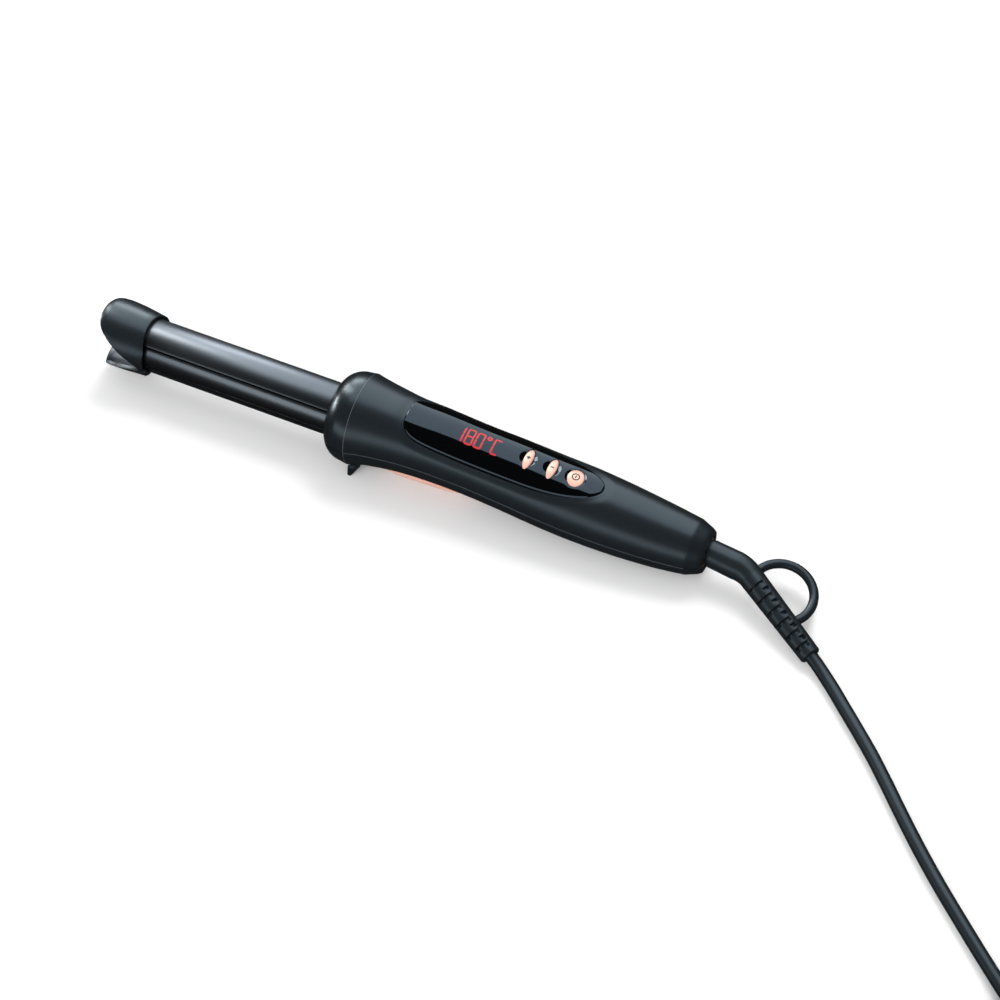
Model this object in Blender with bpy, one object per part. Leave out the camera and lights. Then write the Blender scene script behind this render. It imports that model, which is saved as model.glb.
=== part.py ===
"""A corded curling iron with a spring clamp, lying on a table on its two stand legs and the belly of its handle.

Metres, +Z up. The barrel runs along X with its tip at -X and the handle at +X, and the display faces +Z.
The origin is at table height, under the middle of the tool without its cord.
"""

import math

import bmesh
import bpy
from mathutils import Matrix, Vector

# ---------------------------------------------------------------- driving dimensions
HALF_LENGTH = 0.15925
AXIS_Z = 0.02425
GAP = 0.0003

HANDLE_FRONT_X = -0.0184
HANDLE_END_X = HALF_LENGTH
HANDLE_WALL = 0.0024
END_WALL = 0.0024
HANDLE_SHAPE = (
    # x, radius, drop of the centre below the barrel's axis
    (-0.0184, 0.0228, -0.0002),
    (-0.0132, 0.0215, -0.0007),
    (-0.0032, 0.0199, -0.0009),
    (0.0068, 0.0187, -0.0009),
    (0.0218, 0.0181, -0.0009),
    (0.0408, 0.0177, 0.0003),
    (0.0608, 0.0180, 0.0020),
    (0.0798, 0.0183, 0.00415),
    (0.0988, 0.0183, 0.0055),
    (0.1188, 0.0173, 0.00685),
    (0.1378, 0.0156, 0.0078),
    (0.1518, 0.0138, 0.0080),
    (0.1578, 0.0114, 0.0080),
    (0.15925, 0.0104, 0.0080),
)
HANDLE_STATIONS = 21
CHAMFER_X = 0.1518
HALF_SEGMENTS = 20

COLLAR_LIP_X = -0.0325
COLLAR_CREST_X = -0.0225
COLLAR_BACK_X = HANDLE_FRONT_X - GAP
COLLAR_LIP_RADIUS = 0.0137
COLLAR_CREST_RADIUS = 0.0224
COLLAR_BACK_RADIUS = 0.0229
COLLAR_ROUNDING = 1.8
COLLAR_WALL = 0.0023
MOUTH_RADIUS = 0.0139
MOUTH_DROP = 0.0036

TUBE_FRONT_X = -0.1357
TUBE_REAR_X = -0.0150
TUBE_SIDE_RADIUS = 0.0130
TUBE_LOW_RADIUS = 0.0117
TUBE_TOP_RADIUS = 0.0119
TUBE_BORE = 0.0096
PLATE_RADIUS = 0.01335
PLATE_THICKNESS = 0.0012
PLATE_HALF_ANGLE = math.radians(43.5)
GROOVE_ANGLE = math.radians(46.7)
SIDE_END_ANGLE = math.radians(91.0)

CAP_BACK_X = -0.13025
CAP_BACK_RADIUS = 0.0149
CAP_FRONT_RADIUS = 0.0171
CAP_NOSE_ROUNDING = 0.0066
CAP_BORE = 0.0137
CAP_SLOPE = 0.71
CAP_CORNER_DROP = 0.0030

CLAMP_RADIUS = 0.0132
CLAMP_THICKNESS = 0.0012
CLAMP_REAR_X = -0.0270
SPOON_REAR_X = -0.1289
PIVOT_X = -0.0220
PIVOT_Z = AXIS_Z - 0.0150
PIN_RADIUS = 0.0015
LEVER_FRONT_X = -0.0080
LEVER_REAR_X = 0.0440
LEVER_HALF_WIDTH = 0.0105
LEVER_CROWN = 0.0016
LEVER_TOP_DROP = 0.0158
LEVER_FLANK = (
    # x, height of the side edge relative to the barrel's axis
    (-0.0080, -0.0183),
    (-0.0007, -0.0198),
    (0.0078, -0.0196),
    (0.0179, -0.0188),
    (0.0268, -0.0185),
    (0.0327, -0.0180),
    (0.0395, -0.0169),
    (0.0440, -0.0163),
)
SLOT_CLEARANCE = 0.0008

PANEL_PITCH = math.radians(4.86)
PANEL_X = 0.0798
WINDOW_FRONT_X = 0.0056
WINDOW_WIDEST_X = 0.0460
WINDOW_REAR_X = 0.1058
WINDOW_HALF_WIDTH = 0.0129
WINDOW_THICKNESS = 0.0015
WINDOW_RAISE = 0.00025
STAND_Y = 0.0163
BOARD_TOP = -0.0068

SWIVEL_Z = AXIS_Z - 0.0080
SWIVEL_NECK_RADIUS = 0.0072
SLEEVE_START = Vector((HANDLE_END_X + GAP, 0.0, SWIVEL_Z))
SLEEVE_BEND = Vector((0.1783, -0.0012, 0.01445))
RELIEF_END = Vector((0.2214, -0.0278, 0.00525))
RELIEF_DIRECTION = (RELIEF_END - SLEEVE_BEND).normalized()
RELIEF_LENGTH = (RELIEF_END - SLEEVE_BEND).length
BEND_REACH = 0.0045
SLEEVE_START_RADIUS = 0.0066
SLEEVE_BEND_RADIUS = 0.0068
RELIEF_ROOT_RADIUS = 0.0060
RELIEF_END_RADIUS = 0.0050
RIB_ROWS = 7
FIRST_RIB = 0.0110
RIB_SPACING = 0.0054
LOOP_ALONG = 0.0185
LOOP_ACROSS = 0.0075
LOOP_RADIUS = 0.0152
LOOP_WIRE_RADIUS = 0.00225

CORD_RADIUS = 0.0032
CORD_ROUTE = (
    # straight out of the strain relief, down onto the table, then along it to the coil
    RELIEF_END + RELIEF_DIRECTION * 0.00035,
    (0.2249, -0.0300, 0.0045),
    (0.2309, -0.0345, 0.0036),
    (0.2381, -0.0407, 0.0034),
    (0.2450, -0.0471, 0.0034),
    (0.2518, -0.0533, 0.0034),
    (0.2586, -0.0596, 0.0034),
    (0.2652, -0.0659, 0.0034),
    (0.2714, -0.0723, 0.0034),
    (0.2775, -0.0787, 0.0034),
    (0.2855, -0.0873, 0.0034),
    (0.2985, -0.1008, 0.0034),
    (0.3120, -0.1140, 0.0034),
    (0.3260, -0.1268, 0.0034),
    (0.3400, -0.1393, 0.0034),
    (0.3535, -0.1510, 0.0034),
    (0.3600, -0.1565, 0.0036),
    (0.36595, -0.1615, 0.0039),
)
TAIL_ROUTE = (
    # down from the top of the coil to the back of the plug
    (0.3346, -0.2474, 0.0118),
    (0.3220, -0.2474, 0.0088),
    (0.3120, -0.2474, 0.0073),
    (0.3065, -0.2474, 0.0070),
    (0.3030, -0.2474, 0.0070),
)
COIL_CENTRE = Vector((0.3583, -0.2074, 0.0))
COIL_MEAN_RADIUS = 0.0334
COIL_THICKNESS = 0.0200
COIL_HEIGHT = 0.0182
COIL_BOTTOM = 0.0014
PLUG_LENGTH = 0.0350
PLUG_HALF_HEIGHT = 0.0068


# ---------------------------------------------------------------- scene, materials and small helpers
for leftover in list(bpy.data.objects):
    bpy.data.objects.remove(leftover, do_unlink=True)


def material(name, colour, roughness, metallic=0.0):
    made = bpy.data.materials.new(name)
    made.use_nodes = True
    shader = made.node_tree.nodes["Principled BSDF"]
    shader.inputs["Base Color"].default_value = (*colour, 1.0)
    shader.inputs["Roughness"].default_value = roughness
    shader.inputs["Metallic"].default_value = metallic
    made.diffuse_color = (*colour, 1.0)
    return made


FINISHES = {
    "soft_black": ((0.022, 0.026, 0.030), 0.45, 0.0),
    "gloss_black": ((0.004, 0.004, 0.005), 0.08, 0.0),
    "barrel_coat": ((0.050, 0.055, 0.060), 0.20, 0.6),
    "rose_gold": ((0.86, 0.52, 0.43), 0.35, 0.5),
    "aluminium": ((0.80, 0.81, 0.82), 0.35, 1.0),
    "steel": ((0.60, 0.61, 0.62), 0.30, 1.0),
    "brass": ((0.80, 0.60, 0.25), 0.30, 1.0),
    "ceramic": ((0.82, 0.80, 0.74), 0.60, 0.0),
    "high_heat_plastic": ((0.10, 0.09, 0.08), 0.55, 0.0),
    "board_green": ((0.03, 0.16, 0.07), 0.40, 0.0),
    "red_wire": ((0.45, 0.03, 0.02), 0.45, 0.0),
    "blue_wire": ((0.02, 0.08, 0.40), 0.45, 0.0),
    "cable_rubber": ((0.020, 0.023, 0.026), 0.55, 0.0),
}


def finish(obj, kind):
    """Gives the object a material of its own."""
    colour, roughness, metallic = FINISHES[kind]
    obj.data.materials.clear()
    obj.data.materials.append(material(f"{obj.name}_{kind}", colour, roughness, metallic))
    return obj


def placed(name, shape, kind, parent=None):
    """An object made of a bmesh or a curve."""
    if isinstance(shape, bmesh.types.BMesh):
        bmesh.ops.recalc_face_normals(shape, faces=shape.faces)
        if shape.calc_volume(signed=True) < 0:
            bmesh.ops.reverse_faces(shape, faces=shape.faces)
        data = bpy.data.meshes.new(name)
        shape.to_mesh(data)
        shape.free()
        data.shade_smooth()
        data.set_sharp_from_angle(angle=math.radians(35))
    else:
        data = shape
    obj = bpy.data.objects.new(name, data)
    bpy.context.scene.collection.objects.link(obj)
    obj.parent = parent
    return finish(obj, kind)


def helper(name, shape):
    """A cutter, or a shape that a Boolean joins on. It is not a node."""
    obj = placed(name, shape, "steel")
    obj.hide_render = True
    obj.display_type = "WIRE"
    return obj


def combine(obj, other, operation):
    boolean = obj.modifiers.new(f"{operation.lower()}_{other.name}", "BOOLEAN")
    boolean.operation = operation
    boolean.solver = "EXACT"
    boolean.object = other
    return obj


def cut(obj, *cutters):
    for cutter in cutters:
        combine(obj, cutter, "DIFFERENCE")
    return obj


def join(obj, *others):
    for other in others:
        combine(obj, other, "UNION")
    return obj


def pivot(name, location, pitch=0.0):
    """An empty on a joint's axis, which moving pieces are parented to."""
    empty = bpy.data.objects.new(name, None)
    bpy.context.scene.collection.objects.link(empty)
    empty.location = location
    empty.rotation_euler = (0.0, pitch, 0.0)
    return empty


def onto(obj, empty):
    """Parents an object that was modelled in world space to an empty, without moving it."""
    obj.parent = empty
    basis = Matrix.LocRotScale(empty.location, empty.rotation_euler, None)
    obj.matrix_parent_inverse = basis.inverted()
    return obj


# ---------------------------------------------------------------- shape builders
def loft(rings):
    """A closed solid through rings of equal point count, with flat ends."""
    mesh = bmesh.new()
    layers = [[mesh.verts.new(point) for point in ring] for ring in rings]
    count = len(layers[0])
    for first, second in zip(layers, layers[1:]):
        for k in range(count):
            after = (k + 1) % count
            mesh.faces.new((first[k], first[after], second[after], second[k]))
    for end in (layers[0], layers[-1]):
        mesh.faces.new(end)
    return mesh


def grid_solid(top, bottom):
    """A closed slab between two grids of points of equal size."""
    mesh = bmesh.new()
    upper = [[mesh.verts.new(point) for point in row] for row in top]
    lower = [[mesh.verts.new(point) for point in row] for row in bottom]
    rows, columns = len(top), len(top[0])
    for layer in (upper, lower):
        for i in range(rows - 1):
            for j in range(columns - 1):
                mesh.faces.new((layer[i][j], layer[i + 1][j], layer[i + 1][j + 1], layer[i][j + 1]))
    for i in range(rows - 1):
        for j in (0, columns - 1):
            mesh.faces.new((upper[i][j], lower[i][j], lower[i + 1][j], upper[i + 1][j]))
    for j in range(columns - 1):
        for i in (0, rows - 1):
            mesh.faces.new((upper[i][j], upper[i][j + 1], lower[i][j + 1], lower[i][j]))
    return mesh


def turned(profile, axis_point, axis, segments):
    """A closed (distance along the axis, radius) outline spun right round the axis."""
    mesh = bmesh.new()
    axis = Vector(axis).normalized()
    side = axis.orthogonal().normalized()
    origin = Vector(axis_point)
    corners = [mesh.verts.new(origin + axis * along + side * radius) for along, radius in profile]
    outline = [mesh.edges.new((a, b)) for a, b in zip(corners, corners[1:] + corners[:1])]
    bmesh.ops.spin(
        mesh,
        geom=outline + corners,
        cent=origin,
        axis=axis,
        angle=math.tau,
        steps=segments,
        use_merge=True,
    )
    bmesh.ops.remove_doubles(mesh, verts=mesh.verts, dist=1e-6)
    return mesh


def cylinder(start, end, radius, segments=24, far_radius=None):
    start, end = Vector(start), Vector(end)
    mesh = bmesh.new()
    turn = (end - start).to_track_quat("Z", "Y").to_matrix().to_4x4()
    bmesh.ops.create_cone(
        mesh,
        cap_ends=True,
        segments=segments,
        radius1=radius,
        radius2=radius if far_radius is None else far_radius,
        depth=(end - start).length,
        matrix=Matrix.Translation((start + end) / 2) @ turn,
    )
    return mesh


def block(low, high, bevel=0.0):
    low, high = Vector(low), Vector(high)
    mesh = bmesh.new()
    size = Matrix.Diagonal((*(high - low), 1.0))
    bmesh.ops.create_cube(mesh, size=1.0, matrix=Matrix.Translation((low + high) / 2) @ size)
    if bevel:
        bmesh.ops.bevel(mesh, geom=mesh.edges[:], offset=bevel, segments=1, affect="EDGES")
    return mesh


def prism(outline, low_z, high_z):
    """A plan outline of (x, y) points extruded upwards."""
    return loft([[(x, y, z) for x, y in outline] for z in (low_z, high_z)])


def along_x(section, start_x, end_x):
    """A (y, z) section about the barrel's axis, extruded along X."""
    return loft([[(x, y, AXIS_Z + z) for y, z in section] for x in (start_x, end_x)])


def smooth_path(points, count):
    """Evenly spaced points on a smooth curve through the given ones."""
    points = [Vector(p) for p in points]
    padded = [2 * points[0] - points[1], *points, 2 * points[-1] - points[-2]]
    fine = []
    for before, a, b, after in zip(padded, padded[1:], padded[2:], padded[3:]):
        for step in range(16):
            t = step / 16
            fine.append(
                0.5
                * (
                    2 * a
                    + (b - before) * t
                    + (2 * before - 5 * a + 4 * b - after) * t**2
                    + (3 * a - before - 3 * b + after) * t**3
                )
            )
    fine.append(points[-1])
    lengths = [0.0]
    for a, b in zip(fine, fine[1:]):
        lengths.append(lengths[-1] + (b - a).length)
    spaced = []
    index = 0
    for k in range(count):
        wanted = lengths[-1] * k / (count - 1)
        while index < len(fine) - 2 and lengths[index + 1] < wanted:
            index += 1
        share = (wanted - lengths[index]) / (lengths[index + 1] - lengths[index])
        spaced.append(fine[index].lerp(fine[index + 1], share))
    return spaced


def tube(name, points, radius, kind, resolution=2):
    curve = bpy.data.curves.new(name, "CURVE")
    curve.dimensions = "3D"
    curve.bevel_depth = radius
    curve.bevel_resolution = resolution
    curve.use_fill_caps = True
    spline = curve.splines.new("POLY")
    spline.points.add(len(points) - 1)
    for corner, point in zip(spline.points, points):
        corner.co = (*point, 1.0)
    return placed(name, curve, kind)


def arc(radius, start, end, steps):
    """(y, z) points on a circle about the barrel's axis. Angles run from the top towards -Y."""
    angles = [start + (end - start) * k / steps for k in range(steps + 1)]
    return [(-radius * math.sin(a), radius * math.cos(a)) for a in angles]


# ---------------------------------------------------------------- the handle's outer form
def handle_at(x):
    """(radius, drop) of the handle's round section at x: smooth up to the end chamfer, straight along it."""
    table = HANDLE_SHAPE
    last = len(table) - 2
    k = next((i for i in range(last + 1) if x <= table[i + 1][0]), last)
    a, b = table[k], table[k + 1]
    before = table[max(k - 1, 0)]
    after = b if b[0] >= CHAMFER_X else table[k + 2]
    t = min(max((x - a[0]) / (b[0] - a[0]), 0.0), 1.0)
    if x > CHAMFER_X:
        return [a[1] + (b[1] - a[1]) * t, a[2] + (b[2] - a[2]) * t]
    found = []
    for c in (1, 2):
        slope_a = (b[c] - before[c]) / (b[0] - before[0]) * (b[0] - a[0])
        slope_b = (after[c] - a[c]) / (after[0] - a[0]) * (b[0] - a[0])
        found.append(
            (2 * t**3 - 3 * t**2 + 1) * a[c]
            + (t**3 - 2 * t**2 + t) * slope_a
            + (3 * t**2 - 2 * t**3) * b[c]
            + (t**3 - t**2) * slope_b
        )
    return found


def handle_surface_z(x, y, offset=0.0):
    """Height of the handle's top surface over (x, y), offset outwards."""
    radius, drop = handle_at(x)
    return AXIS_Z - drop + math.sqrt(max((radius + offset) ** 2 - y * y, 0.0))


def handle_half(side):
    """The upper (side 1) or lower (side -1) half of the handle, as a hollow shell with an end wall."""
    last = HANDLE_END_X - END_WALL
    span = CHAMFER_X - HANDLE_FRONT_X
    stations = [HANDLE_FRONT_X + span * k / HANDLE_STATIONS for k in range(HANDLE_STATIONS + 1)]
    rings = []
    for x in [*stations, last - GAP, last, 0.1578, HANDLE_END_X]:
        radius, drop = handle_at(x)
        inner = radius - HANDLE_WALL if x < last else SWIVEL_NECK_RADIUS + 0.0004
        ring = []
        for r, reverse in ((radius, False), (inner, True)):
            lift = math.asin(GAP / 2 / r)
            angles = [lift + (math.pi - 2 * lift) * k / HALF_SEGMENTS for k in range(HALF_SEGMENTS + 1)]
            for a in reversed(angles) if reverse else angles:
                ring.append((x, r * math.cos(a), AXIS_Z - drop + side * r * math.sin(a)))
        rings.append(ring)
    return loft(rings)


def window_half_width(x):
    """Half the display window's width at x: blunt towards the barrel, tapered to a round end at the rear."""
    if x < WINDOW_WIDEST_X:
        share = (WINDOW_WIDEST_X - x) / (WINDOW_WIDEST_X - WINDOW_FRONT_X)
        return WINDOW_HALF_WIDTH * max(1 - share**6, 0.0) ** (1 / 3.6)
    share = (x - WINDOW_WIDEST_X) / (WINDOW_REAR_X - WINDOW_WIDEST_X)
    return WINDOW_HALF_WIDTH * max(1 - share**3, 0.0) ** (1 / 2.1)


def window_slab(grow, top, bottom, edge=0.0, rows=26, columns=12):
    """A slab with the window's outline, grown sideways, between two offsets of the handle's surface.

    An edge above 0 rounds the top side off by that much along the outline.
    """
    middle = (WINDOW_FRONT_X + WINDOW_REAR_X) / 2
    half = (WINDOW_REAR_X - WINDOW_FRONT_X) / 2
    shares = [-math.cos(math.pi * (0.02 + 0.96 * i / rows)) for i in range(rows + 1)]
    if edge:
        shares = [shares[0], shares[0] + 0.008, *shares[1:-1], shares[-1] - 0.008, shares[-1]]
    layers = [[], []]
    for i, share in enumerate(shares):
        width = max(window_half_width(middle + half * share) + grow, 0.0010)
        x = middle + (half + grow) * share
        inside = width - edge
        ys = [inside * (2 * j / columns - 1) for j in range(columns + 1)]
        if edge:
            ys = [-width, *ys, width]
        for layer, offset in zip(layers, (top, bottom)):
            row = []
            for j, y in enumerate(ys):
                at_edge = edge and layer is layers[0] and (i in (0, len(shares) - 1) or j in (0, len(ys) - 1))
                row.append((x, y, handle_surface_z(x, y, offset - (edge if at_edge else 0.0))))
            layer.append(row)
    return grid_solid(*layers)


# ---------------------------------------------------------------- display panel and buttons
PANEL = Matrix.Translation((PANEL_X, 0.0, handle_surface_z(PANEL_X, 0.0))) @ Matrix.Rotation(PANEL_PITCH, 4, "Y")
BUTTONS = (
    # name, place along the panel, half length across the handle, half length along it
    ("plus", -0.0123, 0.0059, 0.0021),
    ("minus", -0.0002, 0.0059, 0.0021),
    ("power", 0.0118, 0.0048, 0.0040),
)


def in_panel(mesh):
    """Moves a shape that was built in the panel's own axes to its place on the handle."""
    bmesh.ops.transform(mesh, matrix=PANEL, verts=mesh.verts)
    return mesh


def curved(mesh, flat_below=-0.0020):
    """Bends the upper side of a shape that was built on the flat panel down over the round handle."""
    radius = handle_at(PANEL_X)[0]
    for corner in mesh.verts:
        if corner.co.z > flat_below:
            corner.co.z -= radius - math.sqrt(radius**2 - corner.co.y**2)
    return mesh


def oval_ring(u, half_across, half_along, w, segments=28):
    angles = [math.tau * k / segments for k in range(segments)]
    return [(u + half_along * math.cos(a), half_across * math.sin(a), w) for a in angles]


def oval(u, half_across, half_along, low, high):
    return loft([oval_ring(u, half_across, half_along, w) for w in (low, high)])


def make_button(name, u, half_across, half_along):
    """A crowned cap in the window, held in by a bar below it, and the switch that it presses."""
    crown = ((1.0, -0.0025), (1.0, 0.0001), (0.80, 0.0005), (0.45, 0.0008), (0.10, 0.0009))
    rings = [oval_ring(u, half_across * share, half_along * share, w) for share, w in crown]
    cap = placed(f"button_{name}", in_panel(curved(loft(rings))), "rose_gold")
    bar = block((u - half_along - 0.0010, -0.0022, -0.0029), (u + half_along + 0.0010, 0.0022, -0.0021))
    join(cap, helper(f"{name}_bar", in_panel(bar)))
    onto(cap, pivot(f"{name}_press", PANEL @ Vector((u, 0, -0.0020)), PANEL_PITCH))
    body = block((u - 0.003, -0.003, BOARD_TOP + GAP), (u + 0.003, 0.003, BOARD_TOP + 0.0026))
    switch = placed(f"tact_switch_{name}", in_panel(body), "gloss_black")
    plunger = oval(u, 0.0016, 0.0016, BOARD_TOP + 0.0020, BOARD_TOP + 0.0033)
    join(switch, helper(f"{name}_plunger", in_panel(plunger)))


def make_display():
    window = placed("display_window", window_slab(0.0, WINDOW_RAISE, -WINDOW_THICKNESS, 0.0005), "gloss_black")
    for name, u, half_across, half_along in BUTTONS:
        hole = in_panel(oval(u, half_across + GAP, half_along + GAP, -0.01, 0.01))
        cut(window, helper(f"{name}_hole", hole))
        radius = max(0.0040, half_along + 0.0006)
        dish = turned(
            ((0.0030, 0.0), (0.0030, radius), (0.0001, radius), (-0.0005, radius * 0.7), (-0.0007, 0.0)),
            (u, 0, 0),
            (0, 0, 1),
            24,
        )
        cut(window, helper(f"{name}_dimple", in_panel(curved(dish))))
        make_button(name, u, half_across, half_along)


def make_electronics():
    board = block((-0.0560, -0.0090, BOARD_TOP - 0.0016), (0.0330, 0.0090, BOARD_TOP))
    placed("circuit_board", in_panel(board), "board_green")
    module = block((-0.0490, -0.0055, BOARD_TOP + GAP), (-0.0230, 0.0055, -0.0032), 0.0004)
    placed("display_module", in_panel(module), "gloss_black")
    under = BOARD_TOP - 0.0016 - GAP
    chip = block((-0.0100, -0.0050, under - 0.0016), (0.0000, 0.0050, under))
    placed("controller_chip", in_panel(chip), "gloss_black")
    triac = block((0.0080, -0.0050, under - 0.0045), (0.0180, 0.0050, under))
    placed("heater_triac", in_panel(triac), "gloss_black")
    filter_block = block((0.0200, -0.0065, under - 0.0075), (0.0320, 0.0065, under), 0.0005)
    placed("filter_capacitor", in_panel(filter_block), "brass")


# ---------------------------------------------------------------- handle shells
def rounded_plan(front_x, rear_x, half_width, bluntness=6.0, steps=12):
    """A plan outline like a rounded bar, as (x, y) points."""
    middle, half = (front_x + rear_x) / 2, (rear_x - front_x) / 2
    upper = []
    for k in range(steps + 1):
        share = -math.cos(math.pi * k / steps)
        share = max(min(share, 0.9985), -0.9985)
        upper.append((middle + half * share, half_width * (1 - abs(share) ** bluntness) ** 0.4))
    return upper + [(x, -y) for x, y in reversed(upper)]


def make_stand_leg(side):
    """One tapered leg of the rest stand, moulded in one piece with the lower shell."""
    rings = []
    # front x, rear x, distance from the middle, half width, height
    for front, rear, y, half_width, z in (
        (-0.0175, -0.0136, 0.0140, 0.0013, 0.0090),
        (-0.0181, -0.0142, 0.0149, 0.0012, 0.0062),
        (-0.0203, -0.0149, 0.0153, 0.0012, 0.0053),
        (-0.0203, -0.0179, STAND_Y, 0.0010, 0.0),
    ):
        middle, half_length = (front + rear) / 2, (rear - front) / 2
        angles = [math.tau * k / 12 for k in range(12)]
        plan = [(middle + half_length * math.cos(a), side * (y + half_width * math.sin(a))) for a in angles]
        rings.append([(*corner, z) for corner in plan])
    return loft(rings)


def make_shells():
    upper = placed("handle_upper_shell", handle_half(1), "soft_black")
    cut(
        upper,
        helper("window_recess", window_slab(GAP, 0.0030, -WINDOW_THICKNESS - GAP)),
        helper("window_opening", window_slab(-0.0022, 0.0040, -0.0060)),
    )
    lower = placed("handle_lower_shell", handle_half(-1), "soft_black")
    plan = rounded_plan(
        LEVER_FRONT_X - SLOT_CLEARANCE,
        LEVER_REAR_X + SLOT_CLEARANCE,
        LEVER_HALF_WIDTH + SLOT_CLEARANCE,
    )
    cut(lower, helper("lever_slot", prism(plan, -0.005, AXIS_Z - 0.008)))
    for side, word in ((-1, "left"), (1, "right")):
        join(lower, helper(f"stand_leg_{word}", make_stand_leg(side)))
    for name, x in (("front", 0.0600), ("rear", 0.1250)):
        drop = handle_at(x)[1]
        low = AXIS_Z - drop - handle_at(x)[0]
        post = cylinder((x, 0, low + 0.0012), (x, 0, AXIS_Z - drop - 0.0070), 0.0030, 20)
        join(lower, helper(f"screw_post_{name}", post))
        cut(lower, helper(f"screw_well_{name}", cylinder((x, 0, low - 0.002), (x, 0, low + 0.0030), 0.0027, 20)))
        cut(lower, helper(f"screw_hole_{name}", cylinder((x, 0, low), (x, 0, AXIS_Z - drop), 0.0014, 16)))
        screw = cylinder((x, 0, low + 0.0033), (x, 0, AXIS_Z - drop - 0.0075), 0.0011, 16)
        made = placed(f"shell_screw_{name}", screw, "steel")
        head = cylinder((x, 0, low + 0.0014), (x, 0, low + 0.0026), 0.0024, 20)
        neck = cylinder((x, 0, low + 0.0020), (x, 0, low + 0.0050), 0.0011, 16)
        join(made, helper(f"screw_head_{name}", head), helper(f"screw_neck_{name}", neck))


# ---------------------------------------------------------------- collar
def collar_outer(x):
    if x < COLLAR_CREST_X:
        share = (COLLAR_CREST_X - x) / (COLLAR_CREST_X - COLLAR_LIP_X)
        rise = max(1 - share**COLLAR_ROUNDING, 0.0) ** (1 / COLLAR_ROUNDING)
        return COLLAR_LIP_RADIUS + (COLLAR_CREST_RADIUS - COLLAR_LIP_RADIUS) * rise
    share = (x - COLLAR_CREST_X) / (COLLAR_BACK_X - COLLAR_CREST_X)
    return COLLAR_CREST_RADIUS + (COLLAR_BACK_RADIUS - COLLAR_CREST_RADIUS) * share


def collar_half(side):
    """Half of the collar's turned shell. Its section is spun through half a turn and closed."""
    length = COLLAR_CREST_X - COLLAR_LIP_X
    outer_x = [COLLAR_LIP_X + length * (1 - math.cos(math.pi / 2 * k / 9)) for k in range(10)]
    outer = [(x, max(collar_outer(x), MOUTH_RADIUS + 0.0006)) for x in outer_x]
    outer.append((COLLAR_BACK_X, COLLAR_BACK_RADIUS))
    inner = [(COLLAR_BACK_X, COLLAR_BACK_RADIUS - COLLAR_WALL)]
    for x in (-0.0225, -0.0250, -0.0275, -0.0293):
        inner.append((x, max(collar_outer(x) - COLLAR_WALL, MOUTH_RADIUS)))
    inner.append((COLLAR_LIP_X, MOUTH_RADIUS))
    rings = []
    for k in range(HALF_SEGMENTS + 5):
        ring = []
        for x, radius in outer + inner:
            lift = math.asin(GAP / 2 / radius)
            a = lift + (math.pi - 2 * lift) * k / (HALF_SEGMENTS + 4)
            ring.append((x, radius * math.cos(a), AXIS_Z + side * radius * math.sin(a)))
        rings.append(ring)
    return loft(rings)


def make_collar():
    placed("collar_upper", collar_half(1), "soft_black")
    lower = placed("collar_lower", collar_half(-1), "soft_black")
    mouth = [(-y, -z) for y, z in arc(MOUTH_RADIUS + 0.00005, -math.pi / 2, math.pi / 2, 20)]
    dropped = [(y, z - MOUTH_DROP) for y, z in mouth]
    section = [(mouth[0][0], 0.002), *dropped, (mouth[-1][0], 0.002)]
    cut(lower, helper("mouth_relief", along_x(section, COLLAR_LIP_X - 0.001, -0.0283)))


# ---------------------------------------------------------------- barrel
def tube_section():
    """The extruded tube: a recess on top for the plate, full-size flanks, and a slim underside for the clamp."""
    top = arc(TUBE_TOP_RADIUS, -GROOVE_ANGLE, GROOVE_ANGLE, 16)
    flank = arc(TUBE_SIDE_RADIUS, GROOVE_ANGLE, SIDE_END_ANGLE, 7)
    under = arc(TUBE_LOW_RADIUS, SIDE_END_ANGLE, math.tau - SIDE_END_ANGLE, 26)
    other = arc(TUBE_SIDE_RADIUS, math.tau - SIDE_END_ANGLE, math.tau - GROOVE_ANGLE, 7)
    return [*top, *flank, *under, *other]


def shell_section(outer, thickness, start, end, steps):
    return arc(outer, start, end, steps) + arc(outer - thickness, end, start, steps)


def make_barrel():
    tube_body = placed("barrel_tube", along_x(tube_section(), TUBE_FRONT_X, TUBE_REAR_X), "barrel_coat")
    bore = cylinder((TUBE_FRONT_X - 0.01, 0, AXIS_Z), (TUBE_REAR_X + 0.01, 0, AXIS_Z), TUBE_BORE, 40)
    cut(tube_body, helper("tube_bore", bore))
    plate = shell_section(PLATE_RADIUS, PLATE_THICKNESS, -PLATE_HALF_ANGLE, PLATE_HALF_ANGLE, 16)
    placed("barrel_top_plate", along_x(plate, TUBE_FRONT_X + 0.0002, -0.0240), "barrel_coat")
    end_x = TUBE_FRONT_X + 0.0003
    disc = cylinder((end_x, 0, AXIS_Z), (end_x + 0.0030, 0, AXIS_Z), TUBE_BORE - GAP, 32)
    placed("barrel_end_disc", disc, "high_heat_plastic")
    for name, side in (("upper", 1), ("lower", -1)):
        section = [(y, side * z) for y, z in arc(0.0091, -math.radians(72), math.radians(72), 14)]
        placed(f"heater_block_{name}", along_x(section, -0.1280, -0.0400), "aluminium")
    placed("ptc_heater", block((-0.1250, -0.0075, AXIS_Z - 0.0023), (-0.0430, 0.0075, AXIS_Z + 0.0023)), "ceramic")
    sensor = cylinder((-0.0370, 0.0, AXIS_Z + 0.007), (-0.0300, 0.0, AXIS_Z + 0.007), 0.0016, 16)
    placed("temperature_sensor", sensor, "ceramic")


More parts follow.
